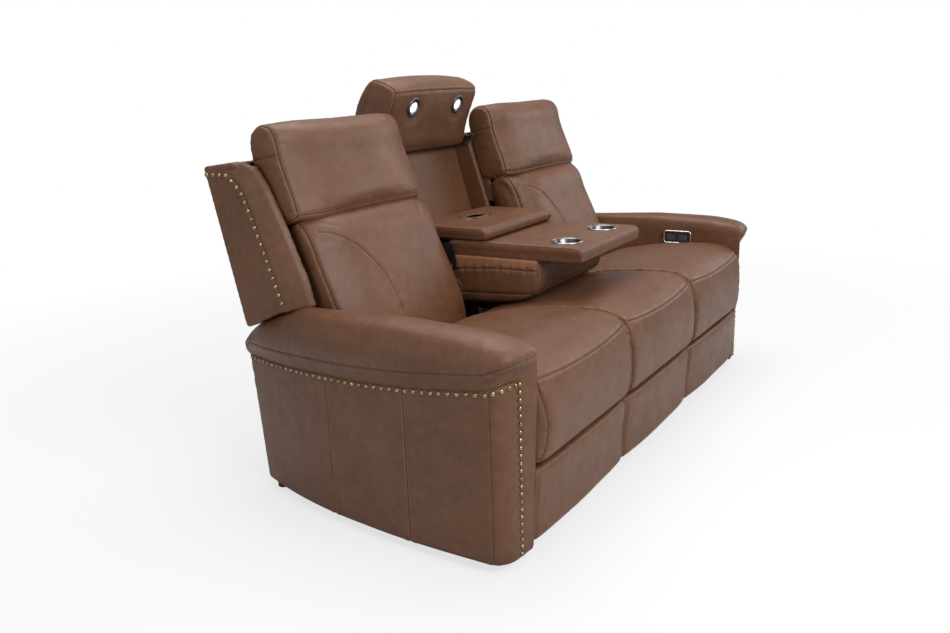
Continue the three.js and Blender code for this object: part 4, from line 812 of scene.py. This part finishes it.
back_pins = queue_leaning(
    "back", on_back, placed(BACK_SHARES, -16.0, 0, 152.0, 508.0), 9.0,
    (BACK["x0"], BACK["x1"], 16, 48, (-1, 0)), (BACK["x0"] + 24, BACK["x1"] - 3), 9.0, 12.0, 14.0)
head_pins = queue_leaning(
    "head", on_head, placed(HEAD_SHARES, -5.0, -6, 139.0, HEAD["height"]), 8.0,
    (HEAD["x0"], HEAD["x1"], 16, 46, (-1, -0.35)), (HEAD["x0"] + 8, HEAD["x1"] - 4), 7.5, 11.0, 18.0)
pillow_xs = np.linspace(-262, 262, 70)
pillow_pins = queue_leaning(
    "pillow", on_pillow, placed(PILLOW_SHARES, 0, -18.0, PILLOW["depth"], PILLOW["height"]), 8.0,
    (-272, 272, 18, 16, (PILLOW["depth"], PILLOW["height"])), (-264, 264), 7.5, 11.0, 18.0, 2.6,
    (rows(pillow_xs, 1.0, 205.0 - 5 * np.abs(pillow_xs / 262) ** 3), rows(pillow_xs, 4.0, -27.0)), light_free)

console_outer = spline(placed(CONSOLE_SHARES, -150, 492, 366, 157.7), False, 8.0)
console_lid = resample([console_outer[-1], console_outer[0]], 8.0)
console_profile = np.concatenate([console_outer, console_lid[1:-1]])
padded_form("console", x_cushion(console_profile, -260, 260, 14, 0, (0, 1)),
            [rows(x, *console_profile.T) for x in (-254, 254)], 7.5, 2.0, 10.0, 26.0)


# Arms

NAIL_DROP = [(0, 0), (0.053, 0.184), (0.203, 0.379), (0.311, 0.506), (0.454, 0.62), (0.595, 0.7),
             (0.704, 0.775), (0.795, 0.85), (0.885, 0.915), (0.955, 0.965), (1, 1)]
CREST = [(-488, 574), (-480, 588), (-470, 598), (-454, 607), (-420, 615), (-342, 627), (-105, 637), (235, 626),
         (441, 560), (515, 506), (550, 472), (570, 455)]
PAD_SECTION = [(1, 0), (1.02, 0.3), (0.985, 0.62), (0.86, 0.88), (0.6, 0.99), (0.36, 1), (0.15, 0.93),
               (0.03, 0.76), (0, 0.5)]
ARM_FRONT, ARM_REAR, PAD_REAR, PAD_END = -453.0, 505.0, 545.0, 570.0
TAPER_START, BEND_START = -400.0, 270.0
CORNER_X, CORNER_Y = 62.0, 53.0
ARM_FOOT, WELT_RISE = 27.0, 47.0


def arm_side(y):
    along = np.maximum(0, (np.asarray(y, float) - TAPER_START) / (ARM_REAR - TAPER_START))
    return ARM_OUTER - 150.0 * along ** 2.55


def nail_height(y):
    share = (np.asarray(y, float) - ARM_FRONT) / (PAD_REAR - ARM_FRONT)
    return 507.0 - 87.0 * np.interp(share, *zip(*NAIL_DROP))


def arm_inner(y):
    narrow = arm_side(ARM_REAR) - 46.0
    along = np.maximum(0, (np.asarray(y, float) - BEND_START) / (ARM_REAR - BEND_START))
    return INNER_HALF - (INNER_HALF - narrow) * along


def corner_place(turn):
    """The arm's round front corner in plan: from its front at no turn to its side at a quarter turn."""
    return ARM_OUTER - CORNER_X + CORNER_X * math.sin(turn), TAPER_START - CORNER_Y * math.cos(turn)


def pad_station(y):
    """Base, welt and crest heights of the arm pad at y, with its outer edge at the base and at the welt."""
    crest = float(np.interp(y, *zip(*CREST)))
    nails = float(nail_height(min(y, PAD_REAR)))
    base, welt = nails - 11.0, nails + WELT_RISE
    forward = max(0.0, TAPER_START - y)
    low_edge = ARM_OUTER - CORNER_X + CORNER_X * math.sqrt(max(0.0, 1 - (forward / CORNER_Y) ** 2)) - 2.5
    edge = 969.0 + 83.0 * max(0.0, 1 - (forward / 91.0) ** 3) ** 0.5
    if y > TAPER_START:
        low_edge, edge = float(arm_side(min(y, 551.0))) - 2.5, float(arm_side(y)) + 20.0
    if y < ARM_FRONT:
        base = 498.0 + (ARM_FRONT - y) / 35.0 * 62.0
        welt = 554.0 + 12.0 * min(1.0, (ARM_FRONT - y) / 30.0)
    if y > 500:
        close = (y - 500) / 70.0
        edge -= 8.0 * close ** 3
        welt = min(welt, (base + 22 + crest) / 2)
        base += 12.0 * max(0.0, close - 0.6)
    return base, min(welt, crest - 3.0), crest, low_edge, edge


def arm_pad_body():
    front_ys, end_ys = (-488.0, -485.0, -480.0, -472.0, -462.0), (552.0, 562.0, 568.0, PAD_END)
    rings = []
    for y in (*front_ys, *np.linspace(ARM_FRONT, 540, 42), *end_ys):
        base, welt, top, low_edge, outer = pad_station(y)
        inner = float(arm_inner(min(y, 530.0))) + (1.5 if y > ARM_FRONT else 4.0)
        upper = placed(PAD_SECTION, inner, welt, outer - inner, top - welt)
        low = resample([(inner, upper[-1][1]), (inner, base), (low_edge, base), (low_edge + 1.5, base + 12.0),
                        (outer, welt)], 1.0)
        flat = np.concatenate([in_parts(spline(upper, step=1.0), 36)[:36], in_parts(low, 30)[:30]])
        rings.append(rows(flat[:, 0], y, flat[:, 1]))
    return loft(rings)


def arm_pad_line():
    """The welt round the pad's lower edge, up over the front and in to its inner edge."""
    welt = []
    for y in [*np.linspace(566, -440, 130), *np.linspace(-443, -487, 14)]:
        _, level, _, _, edge = pad_station(y)
        welt.append((edge, y, level))
    for share in np.linspace(0, 1, 12):
        welt.append((966.0 - 56.0 * share, -489.0 + 4 * share, 568.0 - 6.0 * share))
    return np.array(welt)


def pad_free(verts):
    """The band between the nails and the welt stays smooth, only the pad above it is filled."""
    free = np.clip((verts[:, 2] - (nail_height(verts[:, 1]) + WELT_RISE)) / 22.0, 0, 1)
    return free * np.clip((verts[:, 0] - arm_inner(verts[:, 1]) - 6.0) / 30.0, 0, 1)


def arm_plan_outline(rear_y):
    """Plan outline of the arm panel: inner face, front corner, tapering side and rear."""
    ys = np.linspace(TAPER_START, rear_y, 60)[1:]
    points = [(INNER_HALF, ARM_FRONT), *(corner_place(turn) for turn in np.linspace(0, math.pi / 2, 14)),
              *zip(arm_side(ys), ys), (float(arm_inner(rear_y)), rear_y), (INNER_HALF, BEND_START),
              (INNER_HALF, ARM_FRONT)]
    return resample(points, 7.0, True)


def front_reach(x, z):
    """How far the arm's front face stands forward of its outer part at x and height z."""
    return np.clip((968.0 - x) / 64.0, 0, 1) * (7.0 + 20.0 * np.clip((z - ARM_FOOT) / 450.0, 0, 1))


def arm_panel_body():
    levels = 46
    rings = []
    for i in range(levels + 1):
        t = i / levels
        ring = arm_plan_outline(ARM_REAR - 11.0 + 56.0 * t)
        ring = in_parts(np.vstack([ring, ring[:1]]), 430, True)
        near_front = np.clip((-405.0 - ring[:, 1]) / 40.0, 0, 1)
        top = nail_height(ring[:, 1]) + WELT_RISE * np.clip((964.0 - ring[:, 0]) / 8.0, 0, 1) * near_front
        z = ARM_FOOT + t * (top - ARM_FOOT)
        ring[:, 1] -= near_front * front_reach(ring[:, 0], z)
        if i == 0:
            ring += unit(ring.mean(0) - ring) * 3.0
        rings.append(rows(*ring.T, z))
    return loft(rings)


def arm_nail_places():
    """Along the side under the pad, round the front corner and down the front."""
    centres, normals = [], []
    side_end = ARM_REAR + 45.0 - 14.0
    for i in range(35):
        y = side_end + (i / 35) * (TAPER_START - side_end)
        centres.append((float(arm_side(y)), y, float(nail_height(y)) - 9.0))
        normals.append((18.0, float(arm_side(y - 9) - arm_side(y + 9)), 0.0))
    for i in range(5):
        turn = (1 - i / 4) * math.pi / 2
        x, y = corner_place(turn)
        centres.append((x, y, float(nail_height(y)) - 9.0))
        normals.append((math.sin(turn), -math.cos(turn), 0.0))
    for i in range(23):
        z = 498.0 - i / 22 * (498.0 - 36.0)
        centres.append((957.0, ARM_FRONT - float(front_reach(957.0, z)), z))
        normals.append((0.0, -1.0, 0.0))
    return np.array(centres), unit(np.array(normals))


def dimpled(verts, faces, centres):
    """Presses a soft dimple at each place, with the cover rising a little round it."""
    radius = 15.0
    best = nearest_on_lines(verts, [centres], radius * 2.5)[0]
    hollow = -2.0 * np.exp(-(best / (radius * 0.42)) ** 2)
    shift = hollow + 0.7 * np.exp(-((best - radius) / (radius * 0.5)) ** 2)
    shift[best > radius * 2.5] = 0
    return verts + mesh_normals(verts, faces) * shift[:, None]


def dome_nails(centres, normals):
    """Upholstery nails, each a dome over a thin rolled rim."""
    radius, height, sink = 7.0, 5.0, 1.6
    profile = [(0.62, -sink), (0.95, -sink), (1.0, -sink * 0.2), (0.99, 0.5)]
    for turn in np.linspace(0.15, 1.35, 6):
        profile.append((math.cos(turn) * 0.97, 0.5 + math.sin(turn) * (height - 0.5)))
    nails = []
    for place, n in zip(centres, normals):
        a = unit(np.cross(n, (0, 0, 1.0)))
        nails.append(loft([ring_round(place + n * up, radius * share, a, np.cross(n, a), 14)
                           for share, up in profile]))
    return joined(nails)


pad_welt = arm_pad_line()
padded_form("pad", arm_pad_body(), [pad_welt], 7.5, 2.0, 8.0, 10.0, pad_free)
FORM = run_cloth()


# Pieces of the seats, backs and headrests

def seat_seams(lines, right_pitch, side=1):
    left, right, front, hem = lines
    return flip_seams([
        seam(left, 3.4, 4.6, 2.0, 44, 26, stitch=(5.0 * side,)),
        seam(right, 3.4, 4.6, 2.0, right_pitch, 26, stitch=(-5.0 * side,)),
        seam(front, 2.4, 3.6, 0.8, 46, 20), seam(hem, 1.0, 3.0, 0.4, 40, cord=0, stitch=(0.0,))], side)


for name, side in SIDES:
    sewn_piece(f"{name}_seat", sided(FORM["seat"], side), seat_seams(side_seat_lines, 30, side), "frame",
               f"{name}_seat_cushion", 1 if side > 0 else 2)
sewn_piece("centre_seat", FORM["seat_mid"], seat_seams(mid_seat_lines, 44), "frame", "centre_seat_cushion",
           5)


# The arched seams of the two back cushions lie the same way, as shares across the face and heights
ARC = [(0.03, 458), (0.1, 437), (0.18, 402), (0.245, 362), (0.31, 302), (0.34, 255), (0.36, 164), (0.362, 50)]


def arc_line(side):
    across = BACK["x1"] - BACK["x0"]
    out = [(BACK["x0"] + (u if side > 0 else 1 - u) * across, -26.0, up) for u, up in ARC]
    return leaned(spline(out, step=6.0), BACK) * np.array([side, 1.0, 1.0])


head_xs = np.linspace(HEAD["x0"] + 14, HEAD["x1"] - 14, 60)
head_across = np.abs(np.linspace(-1, 1, 60))
head_full = 1 - head_across ** 7
head_seams = [seam(line, 3.0, 4.0, 1.2, 24, stitch=(5.0, -5.0)) for line in head_pins]
head_top = on_head(rows(head_xs, 62.0 - 20 * (1 - head_across ** 2.6), 282.0))
head_foot = on_head(rows(head_xs, 4.0 - 42.0 * head_full, 8.0 - 8.0 * head_full))
head_seams += [seam(head_top, 2.0, 3.4, 0.8, 40), seam(head_foot, 1.6, 3.0, 0.8, 36, stitch=(-5.0,))]
head_seams += [seam(on_head(rows(x, np.linspace(32, 122, 24), 184.0)), 1.6, 3.0, 0.4, 40)
               for x in (HEAD["x0"] - 2, HEAD["x1"] + 2)]
for name, side in SIDES:
    seams = flip_seams([seam(line, 3.0, 4.0, 1.4, 28, stitch=(5.0, -5.0)) for line in back_pins], side)
    seams.append(seam(arc_line(side), 1.8, 3.0, 1.0, 34, 22, stitch=(4.0,)))
    sewn_piece(f"{name}_back_pad", sided(FORM["back"], side), seams, f"{name}_back", f"{name}_back_cushion",
               7 + side, lambda c: np.abs(c[:, 0]) > BACK["x1"] - 5 - boxing_draw(c))
    sewn_piece(f"{name}_head_pad", sided(FORM["head"], side), flip_seams(head_seams, side), f"{name}_head",
               f"{name}_headrest", 11 + side)

pillow_ups = np.linspace(12, 196, 40)
pillow_backs = 104.0 + 8 * np.sin(pillow_ups / 200 * math.pi)
pillow_seams = [seam(on_pillow(rows(x, pillow_backs, pillow_ups)), 1.4, 2.8, 0.4, 44) for x in (-273, 273)]
pillow_seams += [seam(pillow_pins[0], 3.0, 4.0, 1.2, 24, stitch=(5.0,)),
                 seam(pillow_pins[1], 3.0, 4.0, 1.2, 24, stitch=(-5.0,)),
                 seam(pillow_pins[2], 2.2, 3.4, 0.9, 40), seam(pillow_pins[3], 2.2, 3.4, 1.2, 34)]
sewn_piece("centre_head_pad", FORM["pillow"], pillow_seams, "centre_head", "centre_headrest", 21)

console_face = resample([p for p in console_profile if p[1] < 640], 6.0)
high_ys, low_ys = np.linspace(-146, 212, 60), np.linspace(-142, 160, 60)
console_seams = [seam(rows(x, *console_face.T), 2.6, 3.6, 0.9, 40) for x in (-254.0, 254.0)]
console_seams += [seam(rows(x, high_ys, 614.0 - 12.0 * np.maximum(0, high_ys / 160.0)), 2.6, 3.6, 2.6, 34)
                  for x in (-258.0, 258.0)]
console_seams += [seam(rows(x, low_ys, 530.0 - 0.045 * low_ys), 2.0, 3.2, 0.8, 46, 18)
                  for x in (-258.0, 258.0)]
console_seams.append(seam(rows(np.linspace(-246, 246, 70), -147.0, 533.0), 1.6, 3.0, 0.6, 50, 20))
sewn_piece("console_pad", FORM["console"], console_seams, "console", "console_cushion", 31,
           lambda c: (c[:, 2] > 614 - 0.075 * np.maximum(0, c[:, 1])) & (c[:, 1] > -142))


# Front panels: padded boards under the seats

PANEL_SHARES = [(1, 0), (0.35, 0), (0.24, 0.05), (0.17, 0.4), (0.06, 0.7), (0, 0.9), (0.08, 0.98), (0.3, 1),
                (1, 1)]
panel_outer = spline(placed(PANEL_SHARES, -478, 43, 53, 205), step=7.0)
panel_profile = np.concatenate([panel_outer, resample([panel_outer[-1], panel_outer[0]], 7.0)[1:-1]])
panel_edge = resample([p for p in panel_outer if p[1] > 46], 5.0)


def build_front_panel(name, x0, x1, body, node, seed):
    verts, faces = remeshed(*x_cushion(panel_profile, x0, x1, 9, 6, (-1, 0)), 6.5, 6)
    normals = vertex_normals(verts, faces)
    across = (2 * verts[:, 0] - x0 - x1) / (x1 - x0)
    ripple = 1.1 * np.sin(verts[:, 0] * 0.021 + seed) * np.sin(verts[:, 2] * 0.02 + seed * 2)
    rise = ripple - 5.0 * np.abs(across) ** 9 + 1.5 * (1 - across ** 2)
    verts = verts + normals * (np.clip(-normals[:, 1], 0, 1) * rise)[:, None]
    seams = [seam(rows(x, *panel_edge.T), 1.6, 3.0, 0.7, 34, cord=0) for x in (x0 + 8, x1 - 8)]
    hem = rows(np.linspace(x0 + 10, x1 - 10, 80), -466.0, 56.0)
    seams.append(seam(hem, 0.9, 2.8, 0.4, 50, cord=0, stitch=(0.0,)))
    sewn_piece(name, (verts, faces), seams, body, node, seed)


build_front_panel("right_footrest_pad", 303.5, 904.5, "right_footrest", "right_footrest_panel", 41)
build_front_panel("left_footrest_pad", -904.5, -303.5, "left_footrest", "left_footrest_panel", 43)
build_front_panel("centre_front_pad", -300.5, 300.5, "frame", "centre_front_panel", 47)

# Brackets that carry each footrest on its linkage
bracket = [(-434, 103), (-408, 111), (-394, 118), (-394, 132), (-408, 139), (-434, 147)]
plates = joined([prism_x(bracket, x, x + 5) for x in (SEAT_CENTRE + 236, SEAT_CENTRE - 241)])
for name, side in SIDES:
    finish_piece(f"{name}_footrest_brackets", sided(plates, side), f"{name}_footrest", ZINC)


# Pieces of the arms, with the nails of the wings

WING_FRONT = [(298, 617), (324, 686), (376, 831), (415, 928), (440, 960)]
wing_path = resample([(y + 8, z - 4) for y, z in WING_FRONT + [(470, 986), (561, 986)]], 1.0)
wing_picks = [int((i + 0.5) / 20 * (len(wing_path) - 1)) for i in range(20)]
wing_nails = dome_nails(rows(953.0, *wing_path[wing_picks].T), np.array([(1.0, 0, 0)] * 20))

arm_seams = []
for y in (-150.0, 138.0):
    line = rows(float(arm_side(y)), y, np.linspace(28, float(nail_height(y)) - 1, 80))
    arm_seams.append(seam(line, 2.0, 2.6, 0.5, 60, 22, 1.0, stitch=(4.5, -4.5)))
corner_line = rows(*corner_place(math.radians(78)), np.linspace(28, 496, 80))
arm_seams.append(seam(corner_line, 1.6, 2.4, 0.3, 70, swell=0.5))
arm_verts, arm_faces, arm_near = sewn(*arm_panel_body(), arm_seams, 3)
# Each nail pulls the cover in a little
nail_centres, nail_normals = arm_nail_places()
arm_verts = dimpled(arm_verts, arm_faces, nail_centres)
arm_surface = near_surface(arm_verts, arm_faces, arm_near)
arm_nails = dome_nails(nail_centres, nail_normals)
foot_profile = [(0.01, 0), (15.5, 0), (18, 2), (18, 29), (0.01, 29)]
feet = joined([turned(foot_profile, 28, (float(arm_inner(y)) + 22.0, y, 0)) for y in (-393.0, 445.0)])
for name, side in SIDES:
    pad_seams = flip_seams([seam(pad_welt, 2.2, 3.4, 0.9, 48, 20)], side)
    finish_piece(f"{name}_arm_cover", sided((arm_verts, arm_faces), side), "frame", LEATHER,
                 [f"{name}_arm_panel"])
    finish_piece(f"{name}_arm_feet", sided(feet, side), "frame", BLACK_PLASTIC)
    add_threads(f"{name}_arm_cover", arm_surface, arm_seams, "frame", side)
    finish_piece(f"{name}_arm_nail_heads", sided(arm_nails, side), "frame", BRASS, [f"{name}_arm_nails"])
    finish_piece(f"{name}_wing_nail_heads", sided(wing_nails, side), f"{name}_back", BRASS,
                 [f"{name}_wing_nails"])
    sewn_piece(f"{name}_arm_top", sided(FORM["pad"], side), pad_seams, "frame", f"{name}_arm_pad",
               51 + side)


# Upholstered shells keep their frame's shape, eased like leather over board

def shell_cover(name, node, body, voxel, relax, seams, seed, form=None):
    verts, faces = remeshed(*(form or arrays_of(NODES[node].data)), voxel)
    sewn_piece(name, (relaxed(verts, faces, relax), faces), seams, body, node, seed, smooth=False)


def lowered_wing(verts, faces):
    """The wing's lower end drawn down on the arm pad."""
    share = np.clip((np.abs(verts[:, 0]) - 903.0) / 6.0, 0, 1) * np.clip((700.0 - verts[:, 2]) / 70.0, 0, 1)
    verts[:, 2] -= 16.0 * share
    return verts, faces


wing_edge = resample([(y + 3, z) for y, z in WING_FRONT + [(466, 988)]], 5.0)
back_seams = [seam(rows(np.linspace(320, 800, 60), 408.0, 330.0), 1.0, 2.8, 0.3, 60, cord=0, stitch=(0.0,)),
              seam(rows(951.5, *wing_edge.T), 1.2, 2.6, 0.5, 26, cord=0.8),
              seam(rows(np.linspace(308, 945, 80), 566, 985.0), 1.4, 3.0, 0.5, 44)]
for name, side in SIDES:
    winged = lowered_wing(*arrays_of(NODES[f"{name}_back_shell"].data))
    shell_cover(f"{name}_back_cover", f"{name}_back_shell", f"{name}_back", 5.0, 4,
                flip_seams(back_seams, side), 61 + side, winged)
shell_cover("centre_back_cover", "centre_back_shell", "frame", 5.0, 3, [], 71)

# The recess panel without its metal leaf
recess_slope, recess_thick = math.tan(math.radians(16)), 14.0
recess_low, recess_high = (424.0 + (z - 746.0) * recess_slope for z in (420, 989))
recess_ring = resample([(recess_low, 420), (recess_low + recess_thick, 420), (recess_high + recess_thick, 989),
                        (recess_high, 989), (recess_low, 420)], 7.0, True)
recess_fold = seam(rows(np.linspace(-262, 262, 70), 360.0, 712.0), 0.0, 3.4, 0.8, 60, 60, 0.0, 0)
shell_cover("recess_cover", "recess_panel", "frame", 4.5, 3, [recess_fold], 73,
            loft([rows(x, *recess_ring.T) for x in np.linspace(-275.6, 275.6, 60)]))
leaf_parts = [prism_x([(347.5, 676), (410, 676), (410, 684), (347.5, 684)], -200, 200, 0.8)]
leaf_parts += [prism_x([(347.5, 680), (358, 680), (358, 695), (347.5, 695)], x - 4, x + 4, 0.5)
               for x in (-108, -52, 52, 108)]
leaf_parts += [prism_x(3 * circle(16) + (352, 692), x - 28, x + 28, 0.3) for x in (-80, 80)]
finish_piece("flap_leaf", joined(leaf_parts), "frame", ZINC)


# Console table and flap: upholstered slabs

def slab_seam(front, rear, cut, z):
    """The seam round a slab's edge, with its front corners cut."""
    ring = [(-244, front + cut, z), (-244, rear, z), (244, rear, z), (244, front + cut, z), (236, front, z),
            (-236, front, z), (-244, front + cut, z)]
    return seam(resample(ring, 5.0), 1.2, 2.6, 0.4, 50)


table_verts, table_faces = arrays_of(NODES["console_table"].data)
# Padding under the table's edge
table_verts[table_verts[:, 2] < 660, 2] -= 7.0
shell_cover("table_cover", "console_table", "console", 3.6, 3, [slab_seam(-298, 196, 8, 692.0)], 81,
            (table_verts, table_faces))
shell_cover("flap_cover", "console_flap", "flap", 3.6, 3, [slab_seam(49, 340, 7, 735.0)], 83)

# A leather lip round the switch cup
lip_shape = [(0.0, 739.4), (3.0, 742.0), (16.0, 743.0), (32.0, 742.4), (38.0, 738.6), (14.0, 738.0)]
lip_turns = circle(72).T
finish_piece("flap_lip", loft([rows((47.0 + out) * lip_turns[0], 237.0 + (25.0 + out * 0.48) * lip_turns[1], z)
                               for out, z in spline(lip_shape, True, 1.6)], True), "flap", LEATHER)

# Lower rear panel: a thin upholstered board over the steel one, clear of the power inlet
rear_ring = resample([(442.4, 64), (447, 64), (447, 299), (442.4, 299), (442.4, 64)], 6.0, True)
rear_board = loft([rows(x, *rear_ring.T) for x in np.linspace(-830, 830, 120)])
finish_piece("rear_apron", rear_board, "frame", LEATHER)


# Hardware keeps its solids, with its own finish: single nodes, then those of each side

HARDWARE = (
    (BLACK_STEEL, "base_rails headrest_lugs console_bracket", "recliner_base back_frame"),
    (BLACK_PLASTIC, "power_inlet switch_tray", "switch_panel actuator"),
    (ZINC, "headrest_hinge console_hinge", "footrest_lower_links footrest_upper_links motor_carriage"),
    (TIMBER, "centre_seat_frame", "seat_frame"), (KEY_PLASTIC, "", "recline_key headrest_key"),
    (BRIGHT, "", "cup_holder light_switch"), (GUNMETAL, "", "reading_light"))
NODE_MATERIAL = {}
for material, single, paired in HARDWARE:
    for node in single.split() + [f"{name}_{part}" for name, _ in SIDES for part in paired.split()]:
        NODE_MATERIAL[node] = material
for node, obj in NODES.items():
    if node in NODE_MATERIAL and not obj.material_slots:
        obj.data.materials.append(NODE_MATERIAL[node])
    for slot_ref in obj.material_slots:
        slot_ref.material = NODE_MATERIAL.get(node, LEATHER)

# Cup holders: a bright rolled rim over a dark metal bowl
CUP_RIM = [(48.8, 697.2), (52.6, 697.3), (53.0, 698.2), (52.2, 699.8), (50.6, 700.4), (49.2, 699.8)]
CUP_BOWL = [(0.01, 650.6), (41.0, 650.6), (43.2, 652.8), (43.3, 697.2), (48.9, 697.2), (49.0, 699.3),
            (46.5, 699.9), (43.4, 699.2), (41.6, 697.6), (41.4, 656.0), (38.5, 653.4), (0.01, 653.2)]
for name, side in SIDES:
    place = (141.5 * side, -198.0, 0.0)
    cup_rim = turned(spline(CUP_RIM, True, 0.8), 64, place, True)
    finish_piece(f"{name}_cup_rim", cup_rim, "console", BRIGHT, [f"{name}_cup_holder"])
    finish_piece(f"{name}_cup_bowl", turned(CUP_BOWL, 64, place), "console", GUNMETAL)


# Reading lights: dark bezels with a frosted lens

BEZEL = [(20.3, -6.0), (34.6, -6.0), (35.2, 1.6), (34.2, 4.0), (31.4, 5.4), (27.2, 5.0), (23.0, 3.0),
         (20.5, 0.6)]
LENS_SHAPE = [(0.01, -4.0), (20.2, -4.0), (20.2, 0.4), (18.4, 1.2), (12.0, 1.9), (0.01, 2.2)]


def on_light(verts, faces, side):
    return on_pillow(rows(LIGHT_X * side + verts[:, 0], -verts[:, 2], LIGHT_UP + verts[:, 1])), faces


for name, side in SIDES:
    bezel = turned(spline(BEZEL, True, 1.2), 56, endless=True)
    finish_piece(f"{name}_light_bezel", on_light(*bezel, side), "centre_head", GUNMETAL,
                 [f"{name}_reading_light"])
    finish_piece(f"{name}_light_lens", on_light(*turned(LENS_SHAPE, 56), side), "centre_head", LENS)

# Switch panels: a brushed rim round each
rim_corner = 11.0
rim_turns = circle(48)
rim_straight = np.copysign((58.0 - rim_corner, 25.0 - rim_corner), rim_turns)
rim_flat = (-215.0, 540.0) + rim_straight + rim_corner * rim_turns
rim_line = rows(900.2, *resample([*rim_flat, *rim_flat[:2]], 2.5).T)
rim_body = tube(rim_line, np.tile([-1.0, 0, 0], (len(rim_line), 1)), 3.8, 10, 0.0)
for name, side in SIDES:
    finish_piece(f"{name}_switch_rim", sided(rim_body, side), "frame", BRIGHT)


# Stage, lights and camera

def seen_directly(tree):
    """One where the camera itself looks, also through glass, and nought in every other light path."""
    path = tree.nodes.new("ShaderNodeLightPath").outputs
    rays = {0: path["Is Camera Ray"], 1: path["Is Transmission Ray"]}
    return add_node(tree, "Math", rays, operation="MAXIMUM")


def stage_material():
    mat, tree, shader, coords = new_material("studio_floor")
    feed(tree, shader, {"Base Color": (0.58, 0.58, 0.58, 1), "Roughness": 0.9, "Specular IOR Level": 0.1})
    glow = add_node(tree, "Emission", {"Color": (1, 1, 1, 1), "Strength": 1.0})
    reach = add_node(tree, "VectorMath", {0: coords}, "Value", operation="LENGTH")
    fade = map_range(tree, reach, 1.1, 3.6, 0.70, 1.0)
    share = add_node(tree, "Math", {0: seen_directly(tree), 1: fade}, operation="MULTIPLY")
    surface = add_node(tree, "MixShader", {"Fac": share, 1: shader.outputs["BSDF"], 2: glow})
    feed(tree, tree.nodes["Material Output"], {"Surface": surface})
    return mat


floor_mesh = bpy.data.meshes.new("studio_floor")
reach = 14.0
corners = [(-reach, -reach, 0), (reach, -reach, 0), (reach, reach, 0), (-reach, reach, 0)]
floor_mesh.from_pydata(corners, [], [(0, 1, 2, 3)])
floor = bpy.data.objects.new("studio_floor", floor_mesh)
floor.data.materials.append(stage_material())
bpy.context.scene.collection.objects.link(floor)

world = bpy.data.worlds.new("studio")
bpy.context.scene.world = world
world.use_nodes = True
sky = world.node_tree
sky_light = map_range(sky, seen_directly(sky), 0.0, 1.0, 0.42, 1.0)
feed(sky, sky.nodes["Background"], {"Color": (1, 1, 1, 1), "Strength": sky_light})


def area(name, place, target, size_x, size_y, power):
    lamp = bpy.data.lights.new(name, "AREA")
    lamp.shape = "RECTANGLE"
    lamp.size = size_x
    lamp.size_y = size_y
    lamp.energy = power
    obj = bpy.data.objects.new(name, lamp)
    obj.location = place
    obj.rotation_euler = (Vector(target) - Vector(place)).to_track_quat("-Z", "Y").to_euler()
    bpy.context.scene.collection.objects.link(obj)


area("key_light", (-1.6, -3.4, 3.0), (0, -0.1, 0.5), 2.4, 1.6, 165)
area("top_light", (0.3, 0.4, 3.8), (0, 0, 0.5), 3.2, 2.2, 120)
area("fill_light", (-4.2, 0.8, 1.7), (-0.6, 0, 0.6), 2.2, 1.8, 26)
area("side_light", (3.6, -2.0, 2.4), (0.3, 0, 0.6), 1.8, 1.8, 45)

# The camera of the photograph, solved from the sofa's own edges; in metres and degrees
yaw, pitch, roll = (math.radians(a) for a in (31.87795, 15.03539, -2.10822))
forward = Vector((math.cos(yaw) * math.cos(pitch), math.sin(yaw) * math.cos(pitch), -math.sin(pitch)))
level_right = Vector((math.sin(yaw), -math.cos(yaw), 0))
level_up = level_right.cross(forward)
right = math.cos(roll) * level_right + math.sin(roll) * level_up
up = -math.sin(roll) * level_right + math.cos(roll) * level_up
camera_data = bpy.data.cameras.new("camera")
camera_data.sensor_width = 36.0
camera_data.lens = 34.308
camera_data.shift_x = 0.0045
camera_data.shift_y = 0.0054
camera = bpy.data.objects.new("camera", camera_data)
turn = Matrix((right, up, -forward)).transposed()
camera.matrix_world = Matrix.Translation((-2.79625, -1.46691, 1.22311)) @ turn.to_4x4()
bpy.context.scene.collection.objects.link(camera)
bpy.context.scene.camera = camera
bpy.context.scene.view_settings.view_transform = "Standard"
